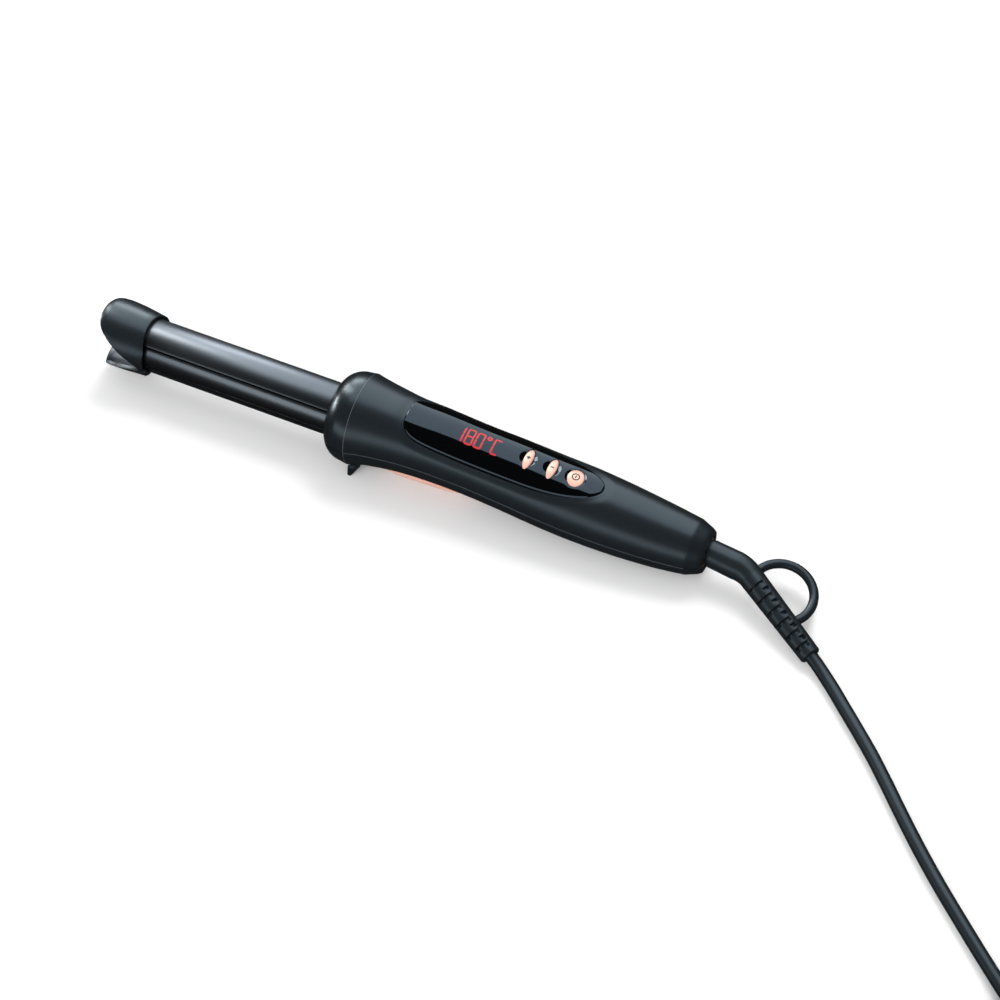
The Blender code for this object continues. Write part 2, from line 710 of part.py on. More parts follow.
def make_holder():
    """The heat-proof chassis that holds the barrel's rear end and, on its two ears, the hinge pin."""
    ring = [(-0.0270, 0.0165), (-0.0090, 0.0165), (-0.0090, 0.01375), (-0.0270, 0.01375)]
    holder = placed("barrel_holder", turned(ring, (0, 0, AXIS_Z), (1, 0, 0), 40), "high_heat_plastic")
    for side, word in ((-1, "left"), (1, "right")):
        y = sorted((side * 0.0051, side * 0.0073))
        ear = block((-0.0260, y[0], PIVOT_Z - 0.0026), (-0.0180, y[1], AXIS_Z - 0.0100))
        join(holder, helper(f"holder_ear_{word}", ear))
    arm_way = block((-0.0300, -0.0049, -0.0050), (-0.0050, 0.0049, AXIS_Z - 0.0080))
    cut(
        holder,
        helper("holder_arm_way", arm_way),
        helper("holder_pin_hole", cylinder((PIVOT_X, -0.02, PIVOT_Z), (PIVOT_X, 0.02, PIVOT_Z), 0.0018, 20)),
        helper("holder_bore", cylinder((-0.05, 0, AXIS_Z), (0.0, 0, AXIS_Z), 0.01372, 40)),
    )
    pin = cylinder((PIVOT_X, -0.0077, PIVOT_Z), (PIVOT_X, 0.0077, PIVOT_Z), PIN_RADIUS, 24)
    placed("hinge_pin", pin, "steel")
    turns, coil_radius, start_y, end_y = 2, 0.0023, 0.00275, 0.00445
    points = [(PIVOT_X - 0.0060, start_y, PIVOT_Z - coil_radius)]
    for k in range(turns * 16 + 1):
        a = math.tau * k / 16
        y = start_y + (end_y - start_y) * k / (turns * 16)
        points.append((PIVOT_X + coil_radius * math.sin(a), y, PIVOT_Z - coil_radius * math.cos(a)))
    points.append((PIVOT_X + 0.0045, end_y, PIVOT_Z - coil_radius))
    tube("clamp_spring", points, 0.0003, "steel", 1)


def make_cap():
    """The cool tip: a blunt dome whose underside slopes up towards the nose, which leaves room for a finger."""
    nose_x = -HALF_LENGTH
    rounding = CAP_NOSE_ROUNDING
    outer = []
    for k in range(5):
        share = k / 4
        x = CAP_BACK_X + (nose_x + rounding - CAP_BACK_X) * share
        bulge = CAP_BACK_RADIUS + (CAP_FRONT_RADIUS - CAP_BACK_RADIUS) * math.sin(share * math.pi / 2)
        outer.append((x, bulge))
    for k in range(1, 8):
        a = math.pi / 2 * k / 8
        x = nose_x + rounding - rounding * math.sin(a)
        outer.append((x, CAP_FRONT_RADIUS - rounding + rounding * math.cos(a)))
    outer.append((nose_x, CAP_FRONT_RADIUS - rounding))
    outer.append((nose_x, 0.0))
    floor_x = TUBE_FRONT_X - GAP
    inner = [(floor_x, 0.0), (floor_x, CAP_BORE), (CAP_BACK_X, CAP_BORE)]
    cap = placed("tip_cap", turned(outer + inner, (0, 0, AXIS_Z), (1, 0, 0), 56), "soft_black")
    corner_z = AXIS_Z - CAP_CORNER_DROP
    reach = CAP_BACK_X - nose_x + 0.010
    slope_line = [
        (CAP_BACK_X + 0.010, corner_z),
        (CAP_BACK_X, corner_z),
        (CAP_BACK_X - reach, corner_z + CAP_SLOPE * reach),
        (CAP_BACK_X - reach, AXIS_Z - 0.03),
        (CAP_BACK_X + 0.010, AXIS_Z - 0.03),
    ]
    wedge = loft([[(x, y, z) for x, z in slope_line] for y in (-0.03, 0.03)])
    cut(cap, helper("cap_underside", wedge))
    scallop = cylinder((CAP_BACK_X + 0.0330, 0, AXIS_Z), (CAP_BACK_X + 0.0330, 0, AXIS_Z + 0.03), 0.0352, 96)
    cut(cap, helper("cap_scallop", scallop))


# ---------------------------------------------------------------- clamp and lever
def spoon_ring(x, outer, inner, lift, rim, bow):
    """A trough section round a centre lifted above the barrel's axis, whose middle bows forward past its rims."""
    ring = []
    for radius, reverse in ((outer, False), (inner, True)):
        start = math.acos((rim - lift) / radius)
        points = [(y, z + lift) for y, z in arc(radius, start, math.tau - start, 24)]
        widest = abs(points[0][0])
        for y, z in reversed(points) if reverse else points:
            ring.append((x - bow * (1 - (y / widest) ** 2), y, AXIS_Z + z))
    return ring


def lever_flank(x):
    """Height of the lever's lower side edge, relative to the barrel's axis."""
    k = next((i for i in range(len(LEVER_FLANK) - 2) if x <= LEVER_FLANK[i + 1][0]), len(LEVER_FLANK) - 2)
    (x0, z0), (x1, z1) = LEVER_FLANK[k], LEVER_FLANK[k + 1]
    share = min(max((x - x0) / (x1 - x0), 0.0), 1.0)
    return z0 + (z1 - z0) * share


def lever_ring(x):
    """One section of the thumb lever: straight flanks and a shallow crown underneath."""
    middle, half = (LEVER_FRONT_X + LEVER_REAR_X) / 2, (LEVER_REAR_X - LEVER_FRONT_X) / 2
    share = max(min((x - middle) / half, 0.9985), -0.9985)
    width = LEVER_HALF_WIDTH * (1 - abs(share) ** 6) ** 0.4
    flank = AXIS_Z + lever_flank(x)
    crown = LEVER_CROWN * (1 - abs(share) ** 6)
    top = AXIS_Z - LEVER_TOP_DROP
    points = [(x, width, top)]
    for k in range(13):
        a = math.pi * k / 12
        points.append((x, width * math.cos(a), flank - max(crown, 0.0001) * math.sin(a)))
    points.append((x, -width, top))
    return points


def make_clamp():
    hinge = pivot("clamp_hinge", (PIVOT_X, 0.0, PIVOT_Z))
    half_turn = (math.radians(92.0), math.radians(268.0))
    section = shell_section(CLAMP_RADIUS, CLAMP_THICKNESS, *half_turn, 28)
    plate = placed("clamp_plate", along_x(section, TUBE_FRONT_X + 0.0002, CLAMP_REAR_X), "barrel_coat")
    onto(plate, hinge)
    sections = (
        # x, outer radius, inner radius, lift of the centre, height of the rim, forward bow of the middle
        (SPOON_REAR_X, 0.0153, 0.0136, 0.0, -0.0037, 0.0024),
        (-0.1298, 0.0158, 0.0136, 0.0, -0.0037, 0.0020),
        (-0.1357, 0.0160, 0.0136, 0.0, -0.0042, 0.0),
        (-0.1362, 0.0160, 0.0134, 0.0, -0.0043, 0.0),
        (-0.1390, 0.0163, 0.0139, 0.0001, -0.0050, 0.0002),
        (-0.1425, 0.0165, 0.0143, 0.0002, -0.0059, 0.0008),
        (-0.1465, 0.0167, 0.0147, 0.0004, -0.0080, 0.0018),
        (-0.1500, 0.0168, 0.0150, 0.0006, -0.0098, 0.0029),
        (-0.1523, 0.0167, 0.0154, 0.0007, -0.0103, 0.0036),
        (-0.1529, 0.0164, 0.0158, 0.0007, -0.0107, 0.0038),
    )
    spoon = placed("clamp_tip", loft([spoon_ring(*section) for section in sections]), "soft_black")
    onto(spoon, hinge)

    arm_low, arm_high = AXIS_Z - 0.0151, AXIS_Z - 0.0135
    strap = (
        # x, underside, top side
        (-0.0295, arm_low, arm_high),
        (-0.0240, arm_low - 0.0008, arm_high - 0.0004),
        (-0.0190, arm_low - 0.0012, arm_high - 0.0010),
        (-0.0100, arm_low - 0.0010, arm_high - 0.0013),
        (-0.0050, arm_low - 0.0015, arm_high - 0.0019),
        (0.0000, arm_low - 0.0020, arm_high - 0.0024),
        (0.0300, arm_low - 0.0006, arm_high - 0.0010),
    )
    rings = []
    for x, low, high in strap:
        half_width = 0.0040 if x < -0.0270 else 0.0045
        rings.append([(x, -half_width, low), (x, half_width, low), (x, half_width, high), (x, -half_width, high)])
    arm = placed("clamp_arm", loft(rings), "steel")
    knuckle = cylinder((PIVOT_X, -0.0045, PIVOT_Z), (PIVOT_X, 0.0045, PIVOT_Z), 0.0029, 24)
    hole = cylinder((PIVOT_X, -0.02, PIVOT_Z), (PIVOT_X, 0.02, PIVOT_Z), PIN_RADIUS + GAP, 24)
    spring_room = block((PIVOT_X - 0.0068, 0.0022, PIVOT_Z - 0.0060), (PIVOT_X + 0.0053, 0.0060, PIVOT_Z + 0.0060))
    join(arm, helper("arm_knuckle", knuckle))
    cut(arm, helper("arm_pin_hole", hole), helper("arm_spring_room", spring_room))
    onto(arm, hinge)

    steps = 16
    stations = []
    for k in range(steps + 1):
        share = -math.cos(math.pi * k / steps)
        stations.append((LEVER_FRONT_X + LEVER_REAR_X) / 2 + (LEVER_REAR_X - LEVER_FRONT_X) / 2 * share)
    lever = placed("lever", loft([lever_ring(x) for x in stations]), "rose_gold")
    channel = block((-0.0200, -0.0049, arm_low - 0.0024), (0.0306, 0.0049, AXIS_Z))
    cut(lever, helper("lever_channel", channel))
    onto(lever, hinge)


# ---------------------------------------------------------------- wiring inside
def make_wiring():
    heater_route = (
        (-0.0395, 0.0022, 0.0282),
        (-0.0250, 0.0040, 0.0285),
        (-0.0080, 0.0060, 0.0290),
        (0.0120, 0.0070, 0.0275),
        (0.0225, 0.0070, 0.0270),
    )
    sensor_route = (
        (-0.0296, 0.0, 0.03125),
        (-0.0180, 0.0, 0.0312),
        (-0.0040, 0.0, 0.0310),
        (0.0120, 0.0, 0.0300),
        (0.0225, 0.0, 0.0290),
    )
    supply_route = (
        (0.1142, 0.0040, 0.0240),
        (0.1200, 0.0055, 0.0220),
        (0.1260, 0.0062, 0.0195),
        (0.1315, 0.0062, 0.0180),
    )
    for name, route, side, kind in (
        ("heater_lead_line", heater_route, 1, "red_wire"),
        ("heater_lead_neutral", heater_route, -1, "blue_wire"),
        ("sensor_lead", sensor_route, 1, "red_wire"),
        ("supply_lead_line", supply_route, 1, "red_wire"),
        ("supply_lead_neutral", supply_route, -1, "blue_wire"),
    ):
        tube(name, smooth_path([(x, side * y, z) for x, y, z in route], 12), 0.0007, kind)


# ---------------------------------------------------------------- cord swivel and strain relief
def make_swivel():
    swivel = pivot("cord_swivel", (HANDLE_END_X, 0.0, SWIVEL_Z))
    start = (0, 0, SWIVEL_Z)
    bush = [(0.1470, 0.0092), (0.1562, 0.0092), (0.1562, 0.0076), (0.1470, 0.0076)]
    placed("swivel_bush", turned(bush, start, (1, 0, 0), 32), "high_heat_plastic")
    shaft = [
        (0.1330, 0.0),
        (0.1330, 0.0035),
        (0.1424, 0.0035),
        (0.1424, 0.0092),
        (0.1466, 0.0092),
        (0.1466, SWIVEL_NECK_RADIUS),
        (0.1590, SWIVEL_NECK_RADIUS),
        (0.1590, 0.0),
    ]
    onto(placed("swivel_shaft", turned(shaft, start, (1, 0, 0), 32), "high_heat_plastic"), swivel)
    for name, x in (("line", 0.1345), ("neutral", 0.1385)):
        ring = [(x, 0.0050), (x + 0.0022, 0.0050), (x + 0.0022, 0.0038), (x, 0.0038)]
        onto(placed(f"contact_ring_{name}", turned(ring, start, (1, 0, 0), 28), "brass"), swivel)
        brush = block((x + 0.0002, -0.0016, SWIVEL_Z - 0.0083), (x + 0.0020, 0.0016, SWIVEL_Z - 0.0053), 0.0003)
        placed(f"contact_brush_{name}", brush, "brass")
    holder = block((0.1335, -0.0060, SWIVEL_Z - 0.0108), (0.1415, 0.0060, SWIVEL_Z - 0.0086), 0.0003)
    placed("brush_holder", holder, "high_heat_plastic")
    return swivel


def relief_frame(distance):
    """A point on the strain relief's centreline, and the two directions across it."""
    across = Vector((-RELIEF_DIRECTION.y, RELIEF_DIRECTION.x, 0.0)).normalized()
    return SLEEVE_BEND + RELIEF_DIRECTION * distance, across, RELIEF_DIRECTION.cross(across) * -1


def relief_radius(distance):
    share = max(distance - BEND_REACH, 0.0) / (RELIEF_LENGTH - BEND_REACH)
    return RELIEF_ROOT_RADIUS + (RELIEF_END_RADIUS - RELIEF_ROOT_RADIUS) * share


def relief_body():
    """The sleeve out of the handle, its elbow and the tapered tail, lofted in one."""
    sleeve_direction = (SLEEVE_BEND - SLEEVE_START).normalized()
    before = SLEEVE_BEND - sleeve_direction * BEND_REACH
    after = SLEEVE_BEND + RELIEF_DIRECTION * BEND_REACH
    stations = [
        (SLEEVE_START, Vector((1, 0, 0)), SLEEVE_START_RADIUS),
        (before, sleeve_direction, SLEEVE_BEND_RADIUS),
    ]
    for k in range(1, 7):
        t = k / 7
        point = before * (1 - t) ** 2 + SLEEVE_BEND * 2 * t * (1 - t) + after * t**2
        direction = sleeve_direction.lerp(RELIEF_DIRECTION, t).normalized()
        stations.append((point, direction, SLEEVE_BEND_RADIUS + (RELIEF_ROOT_RADIUS - SLEEVE_BEND_RADIUS) * t))
    for share in (0.0, 0.35, 0.7, 0.97, 1.0):
        distance = BEND_REACH + (RELIEF_LENGTH - BEND_REACH) * share
        rounded = 0.0005 if share == 1.0 else 0.0
        stations.append((relief_frame(distance)[0], RELIEF_DIRECTION, relief_radius(distance) - rounded))
    rings = []
    for point, direction, radius in stations:
        across = Vector((-direction.y, direction.x, 0.0)).normalized()
        up = across.cross(direction)
        angles = [math.tau * k / 24 for k in range(24)]
        rings.append([point + (across * math.cos(a) + up * math.sin(a)) * radius for a in angles])
    return loft(rings)


def relief_slot(distance, turn, half_width, length, depth):
    """A block that cuts one pocket into the tail, turned round it from its upper side."""
    centre, across, up = relief_frame(distance)
    outward = up * math.cos(turn) + across * math.sin(turn)
    sideways = RELIEF_DIRECTION.cross(outward)
    basis = Matrix((RELIEF_DIRECTION, sideways, outward)).transposed().to_4x4()
    place = Matrix.Translation(centre + outward * (relief_radius(distance) + 0.0010 - depth / 2))
    slot = bmesh.new()
    size = Matrix.Diagonal((length, half_width * 2, depth + 0.0010, 1.0))
    bmesh.ops.create_cube(slot, size=1.0, matrix=place @ basis @ size)
    return slot


def loop_ring():
    """The hanging loop: a round arc that stands off the tail, with both ends sunk into it."""
    root, across, up = relief_frame(LOOP_ALONG)
    middle = root + across * LOOP_ACROSS
    rings = []
    for k in range(33):
        a = -math.radians(23) + math.radians(226) * k / 32
        out = across * math.sin(a) - RELIEF_DIRECTION * math.cos(a)
        point = middle + out * LOOP_RADIUS
        angles = [math.tau * j / 12 for j in range(12)]
        rings.append([point + (out * math.cos(b) + up * math.sin(b)) * LOOP_WIRE_RADIUS for b in angles])
    return loft(rings)


def make_strain_relief(swivel):
    """The rubber sleeve: straight out of the handle, an elbow, a tapered slotted tail and a hanging loop."""
    relief = placed("strain_relief", relief_body(), "cable_rubber")
    for k in range(RIB_ROWS):
        distance = FIRST_RIB + RIB_SPACING * k
        spread = math.radians(90)
        for word, shift, turn, half_width, length in (
            ("top_right", 0.0, math.radians(24), 0.0011, 0.0017),
            ("top_left", 0.0, math.radians(-24), 0.0011, 0.0017),
            ("left", 0.0022, -spread, 0.0026, 0.0013),
            ("right", 0.0022, spread, 0.0026, 0.0013),
            ("under", 0.0, math.pi, 0.0026, 0.0015),
        ):
            slot = relief_slot(distance + shift, turn, half_width, length, 0.0016)
            cut(relief, helper(f"relief_{word}_{k}", slot))
    join(relief, helper("hanging_loop", loop_ring()))
    onto(relief, swivel)


# ---------------------------------------------------------------- cord, coil, tie and plug
def make_cord(swivel):
    onto(tube("cord_run", smooth_path(CORD_ROUTE, 28), CORD_RADIUS, "cable_rubber"), swivel)
    onto(tube("cord_tail", smooth_path(TAIL_ROUTE, 9), CORD_RADIUS, "cable_rubber"), swivel)
    low, high = COIL_BOTTOM, COIL_BOTTOM + COIL_HEIGHT
    inner, outer = COIL_MEAN_RADIUS - COIL_THICKNESS / 2, COIL_MEAN_RADIUS + COIL_THICKNESS / 2
    ease = 0.0030
    section = [
        (low, inner + ease),
        (low + ease, inner),
        (high - ease, inner),
        (high, inner + ease),
        (high, outer - ease),
        (high - ease, outer),
        (low + ease, outer),
        (low, outer - ease),
    ]
    onto(placed("cord_coil", turned(section, COIL_CENTRE, (0, 0, 1), 40), "cable_rubber"), swivel)
    tie_x, tie_y = COIL_CENTRE.x + COIL_MEAN_RADIUS, COIL_CENTRE.y
    half, wall = COIL_THICKNESS / 2 + 0.0012, 0.0008
    band = block((tie_x - half - 0.0004, tie_y - 0.0035, 0.0), (tie_x + half, tie_y + 0.0035, high + 0.0012))
    hollow = block(
        (tie_x - half + wall - 0.0002, tie_y - 0.01, COIL_BOTTOM - 0.0004),
        (tie_x + half - wall, tie_y + 0.01, high + 0.0004),
    )
    tie = placed("cord_tie", band, "gloss_black")
    cut(tie, helper("tie_hollow", hollow))
    onto(tie, swivel)


def make_plug(swivel):
    """A flat two-pin plug lying on the table beside the coil."""
    back_x, y, z = TAIL_ROUTE[-1][0] - 2 * GAP, TAIL_ROUTE[-1][1], TAIL_ROUTE[-1][2]
    rings = []
    # distance from the cord's end, half width, half height
    for along, wide, high in (
        (0.0, 0.0052, 0.0045),
        (0.0100, 0.0075, 0.0060),
        (0.0200, 0.0150, PLUG_HALF_HEIGHT),
        (PLUG_LENGTH, 0.0175, PLUG_HALF_HEIGHT),
    ):
        ring = []
        for k in range(28):
            cosine, sine = math.cos(math.tau * k / 28), math.sin(math.tau * k / 28)
            across = math.copysign(abs(cosine) ** 0.6, cosine) * wide
            up = math.copysign(abs(sine) ** 0.6, sine) * high
            ring.append((back_x - along, y + across, z + up))
        rings.append(ring)
    onto(placed("plug_body", loft(rings), "cable_rubber"), swivel)
    for side, word in ((-1, "left"), (1, "right")):
        start = Vector((back_x - PLUG_LENGTH - GAP, y + side * 0.0093, z))
        pin = cylinder(start, start + Vector((-0.0190, -side * 0.0003, 0.0)), 0.0020, 20)
        onto(placed(f"plug_pin_{word}", pin, "brass"), swivel)


make_shells()
make_collar()
make_barrel()
make_holder()
make_cap()
make_clamp()
make_display()
make_electronics()
make_wiring()
cord_swivel = make_swivel()
make_strain_relief(cord_swivel)
make_cord(cord_swivel)
make_plug(cord_swivel)
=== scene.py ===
"""The look of the curling iron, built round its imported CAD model.

Metres, +Z up. The tip points to -X and the display faces up.
"""

import math

import bmesh
import bpy
from mathutils import Matrix, Vector


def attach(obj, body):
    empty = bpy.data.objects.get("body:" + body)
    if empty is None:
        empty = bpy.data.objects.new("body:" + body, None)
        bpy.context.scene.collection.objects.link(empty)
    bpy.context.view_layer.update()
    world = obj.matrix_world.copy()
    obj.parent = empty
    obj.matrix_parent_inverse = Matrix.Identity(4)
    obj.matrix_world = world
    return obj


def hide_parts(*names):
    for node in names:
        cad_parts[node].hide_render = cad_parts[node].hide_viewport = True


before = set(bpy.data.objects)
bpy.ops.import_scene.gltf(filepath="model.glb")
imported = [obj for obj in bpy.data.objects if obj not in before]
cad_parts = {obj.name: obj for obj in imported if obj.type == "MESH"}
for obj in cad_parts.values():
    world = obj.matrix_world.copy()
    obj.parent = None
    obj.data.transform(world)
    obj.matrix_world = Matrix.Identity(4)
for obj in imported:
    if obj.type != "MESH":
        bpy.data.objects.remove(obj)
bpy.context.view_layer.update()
scene = bpy.context.scene
scene.view_settings.view_transform = "Standard"

# ---------------------------------------------------------------- dimensions shared with the CAD model
AXIS_Z = 0.02425
GAP = 0.0003
HANDLE_FRONT_X = -0.0184
HANDLE_END_X = 0.15925
HANDLE_SHAPE = (
    # x, radius, drop of the centre below the barrel's axis
    (-0.0184, 0.0228, -0.0002),
    (-0.0132, 0.0215, -0.0007),
    (-0.0032, 0.0199, -0.0009),
    (0.0068, 0.0187, -0.0009),
    (0.0218, 0.0181, -0.0009),
    (0.0408, 0.0177, 0.0003),
    (0.0608, 0.0180, 0.0020),
    (0.0798, 0.0183, 0.00415),
    (0.0988, 0.0183, 0.0055),
    (0.1188, 0.0173, 0.00685),
    (0.1378, 0.0156, 0.0078),
    (0.1518, 0.0138, 0.0080),
    (0.1578, 0.0114, 0.0080),
    (0.15925, 0.0104, 0.0080),
)
CHAMFER_X = 0.1518
WINDOW_FRONT_X = 0.0056
WINDOW_WIDEST_X = 0.0460
WINDOW_REAR_X = 0.1058
WINDOW_HALF_WIDTH = 0.0129
WINDOW_THICKNESS = 0.0015
WINDOW_RAISE = 0.00025
PANEL_PITCH = math.radians(4.86)
PANEL_X = 0.0798
BUTTONS = (
    # name, place along the panel, half length across the handle, half length along it
    ("plus", -0.0123, 0.0059, 0.0021),
    ("minus", -0.0002, 0.0059, 0.0021),
    ("power", 0.0118, 0.0048, 0.0040),
)
CORD_RADIUS = 0.0032
CORD_RUN = (
    (0.2249, -0.0300, 0.0045),
    (0.2309, -0.0345, 0.0036),
    (0.2381, -0.0407, 0.0034),
    (0.2450, -0.0471, 0.0034),
    (0.2518, -0.0533, 0.0034),
    (0.2586, -0.0596, 0.0034),
    (0.2652, -0.0659, 0.0034),
    (0.2714, -0.0723, 0.0034),
    (0.2775, -0.0787, 0.0034),
    (0.2855, -0.0873, 0.0034),
    (0.2985, -0.1008, 0.0034),
    (0.3120, -0.1140, 0.0034),
    (0.3260, -0.1268, 0.0034),
    (0.3400, -0.1393, 0.0034),
    (0.3535, -0.1510, 0.0034),
    (0.3600, -0.1565, 0.0036),
    (0.36595, -0.1615, 0.0039),
    (0.3750, -0.1692, 0.0044),
)
CORD_TAIL = (
    (0.3460, -0.2474, 0.0148),
    (0.3346, -0.2474, 0.0118),
    (0.3220, -0.2474, 0.0088),
    (0.3120, -0.2474, 0.0073),
    (0.3065, -0.2474, 0.0070),
    (0.3030, -0.2474, 0.0070),
)
RELIEF_BEND = Vector((0.1783, -0.0012, 0.01445))
RELIEF_END = Vector((0.2214, -0.0278, 0.00525))
RELIEF_DIRECTION = (RELIEF_END - RELIEF_BEND).normalized()
COIL_CENTRE = Vector((0.3583, -0.2074, 0.0))
COIL_START = math.radians(49.9)
COIL_END = math.radians(-90.0)
COIL_TURNS = (
    # radius and height of each turn, from the first to the last
    (0.0400, 0.0046),
    (0.0334, 0.0046),
    (0.0268, 0.0046),
    (0.0301, 0.0104),
    (0.0367, 0.0104),
    (0.0268, 0.0162),
    (0.0334, 0.0162),
    (0.0400, 0.0162),
)
CAMERA_AZIMUTH = math.radians(23.9)
CAMERA_ELEVATION = math.radians(54.0)
CAMERA_PLACE = Vector((0.395405, -0.772822, 1.161763))


# ---------------------------------------------------------------- camera
def make_camera():
    data = bpy.data.cameras.new("camera")
    data.lens = 108.0
    data.sensor_width = 36.0
    data.clip_end = 20.0
    camera = bpy.data.objects.new("camera", data)
    scene.collection.objects.link(camera)
    ca, sa = math.cos(CAMERA_AZIMUTH), math.sin(CAMERA_AZIMUTH)
    ce, se = math.cos(CAMERA_ELEVATION), math.sin(CAMERA_ELEVATION)
    right = Vector((ca, sa, 0))
    up = Vector((-sa * se, ca * se, ce))
    back = Vector((sa * ce, -ca * ce, se))
    turn = Matrix((right, up, back)).transposed().to_4x4()
    camera.matrix_world = Matrix.Translation(CAMERA_PLACE) @ turn
    scene.camera = camera


make_camera()


# ---------------------------------------------------------------- materials
def new_material(name):
    made = bpy.data.materials.new(name)
    made.use_nodes = True
    return made, made.node_tree, made.node_tree.nodes["Principled BSDF"]


def noise(tree, scale, detail=2.0, stretch=(1.0, 1.0, 1.0)):
    """A noise texture in object space, stretched along an axis."""
    place = tree.nodes.new("ShaderNodeTexCoord")
    mapping = tree.nodes.new("ShaderNodeMapping")
    mapping.inputs["Scale"].default_value = stretch
    texture = tree.nodes.new("ShaderNodeTexNoise")
    texture.inputs["Scale"].default_value = scale
    texture.inputs["Detail"].default_value = detail
    tree.links.new(place.outputs["Object"], mapping.inputs["Vector"])
    tree.links.new(mapping.outputs["Vector"], texture.inputs["Vector"])
    return texture


def surface(
    name,
    colour,
    roughness,
    metallic=0.0,
    grain=900.0,
    bump=0.00002,
    vary=0.12,
    roughness_vary=0.06,
    coat=0.0,
    coat_roughness=0.05,
    specular=0.5,
    tint=(1.0, 1.0, 1.0),
    stretch=(1.0, 1.0, 1.0),
):
    """A moulded or coated surface: fine bump, and slow changes of colour and roughness."""
    made, tree, shader = new_material(name)
    shader.inputs["Metallic"].default_value = metallic
    shader.inputs["Coat Weight"].default_value = coat
    shader.inputs["Coat Roughness"].default_value = coat_roughness
    shader.inputs["Specular IOR Level"].default_value = specular
    shader.inputs["Specular Tint"].default_value = (*tint, 1.0)
    slow = noise(tree, 28.0, 3.0, stretch)
    mix = tree.nodes.new("ShaderNodeMix")
    mix.data_type = "RGBA"
    mix.inputs["A"].default_value = (*(c * (1 - vary) for c in colour), 1.0)
    mix.inputs["B"].default_value = (*(c * (1 + vary) for c in colour), 1.0)
    tree.links.new(slow.outputs["Fac"], mix.inputs["Factor"])
    tree.links.new(mix.outputs["Result"], shader.inputs["Base Color"])
    fine = noise(tree, grain, 2.0, stretch)
    spread = tree.nodes.new("ShaderNodeMapRange")
    spread.inputs["To Min"].default_value = max(roughness - roughness_vary, 0.02)
    spread.inputs["To Max"].default_value = roughness + roughness_vary
    tree.links.new(fine.outputs["Fac"], spread.inputs["Value"])
    tree.links.new(spread.outputs["Result"], shader.inputs["Roughness"])
    if bump:
        relief = tree.nodes.new("ShaderNodeBump")
        relief.inputs["Distance"].default_value = bump
        relief.inputs["Strength"].default_value = 0.6
        tree.links.new(fine.outputs["Fac"], relief.inputs["Height"])
        tree.links.new(relief.outputs["Normal"], shader.inputs["Normal"])
    return made


# tint of the highlights on the plastic and rubber
COOL = (0.76, 0.91, 1.0)
CHARCOAL = (0.0068, 0.0092, 0.0115)
SOFT_BLACK = surface(
    "satin_charcoal", CHARCOAL, 0.34, grain=2600.0, bump=0.000010,
    coat=0.07, coat_roughness=0.26, tint=COOL,
)
COLLAR_BLACK = surface(
    "collar_charcoal", CHARCOAL, 0.28, grain=2600.0, bump=0.000003, roughness_vary=0.03, tint=COOL,
)
CAP_BLACK = surface(
    "cool_tip_charcoal", (0.0064, 0.0086, 0.0108), 0.35, grain=2600.0, bump=0.000010,
    coat=0.07, coat_roughness=0.26, tint=COOL,
)
GLOSS_BLACK = surface(
    "gloss_black", (0.0008, 0.0009, 0.0010), 0.06, grain=300.0, bump=0.0, roughness_vary=0.015,
    tint=(0.66, 0.82, 1.0),
)
PLATE = surface(
    "plate_coat", (0.110, 0.120, 0.131), 0.36, 1.0, grain=1500.0, bump=0.000001, roughness_vary=0.02,
)
BARREL = surface(
    "barrel_coat", (0.125, 0.136, 0.148), 0.30, 1.0, grain=1500.0, bump=0.000001, roughness_vary=0.02,
)
ROSE = surface("rose_gold", (0.84, 0.48, 0.38), 0.34, 0.12, grain=2500.0, bump=0.000006, vary=0.03)
RUBBER = surface("cable_rubber", (0.0085, 0.0112, 0.0135), 0.36, grain=1800.0, bump=0.000015, tint=COOL)
# pale grey for the seam strips: a painted highlight standing in for light caught on the edges of the
# parting lines and the collar joint, not the plastic's own colour
PAINTED_SEAM_HIGHLIGHT = surface("painted_seam_highlight", (0.075, 0.086, 0.094), 0.40, grain=2600.0, bump=0.000004)
STEEL = surface(
    "brushed_steel", (0.58, 0.59, 0.60), 0.30, 1.0, grain=1200.0, bump=0.00001, stretch=(0.1, 1.0, 1.0),
)
ALUMINIUM = surface(
    "aluminium", (0.78, 0.79, 0.80), 0.36, 1.0, grain=900.0, bump=0.00001, stretch=(0.06, 1.0, 1.0),
)
BRASS = surface("brass", (0.78, 0.57, 0.24), 0.28, 1.0, grain=1100.0, bump=0.00001)
CERAMIC = surface("ceramic", (0.80, 0.78, 0.72), 0.62, grain=700.0)
HOT_PLASTIC = surface("high_heat_plastic", (0.085, 0.078, 0.070), 0.56, grain=1400.0)
BOARD = surface("solder_mask", (0.020, 0.150, 0.060), 0.38, grain=500.0)
RED_WIRE = surface("red_insulation", (0.42, 0.025, 0.020), 0.45, grain=1200.0)
BLUE_WIRE = surface("blue_insulation", (0.02, 0.07, 0.38), 0.45, grain=1200.0)
SYMBOL = surface("symbol_print", (0.012, 0.010, 0.010), 0.5, grain=3000.0, bump=0.0)


def glowing_red():
    made, tree, shader = new_material("display_segment")
    shader.inputs["Base Color"].default_value = (0.05, 0.001, 0.001, 1.0)
    shader.inputs["Roughness"].default_value = 0.35
    shader.inputs["Emission Strength"].default_value = 1.0
    flicker = noise(tree, 900.0)
    mix = tree.nodes.new("ShaderNodeMix")
    mix.data_type = "RGBA"
    mix.inputs["A"].default_value = (0.56, 0.001, 0.003, 1.0)
    mix.inputs["B"].default_value = (0.68, 0.002, 0.005, 1.0)
    tree.links.new(flicker.outputs["Fac"], mix.inputs["Factor"])
    tree.links.new(mix.outputs["Result"], shader.inputs["Emission Color"])
    return made


RED_LIGHT = glowing_red()

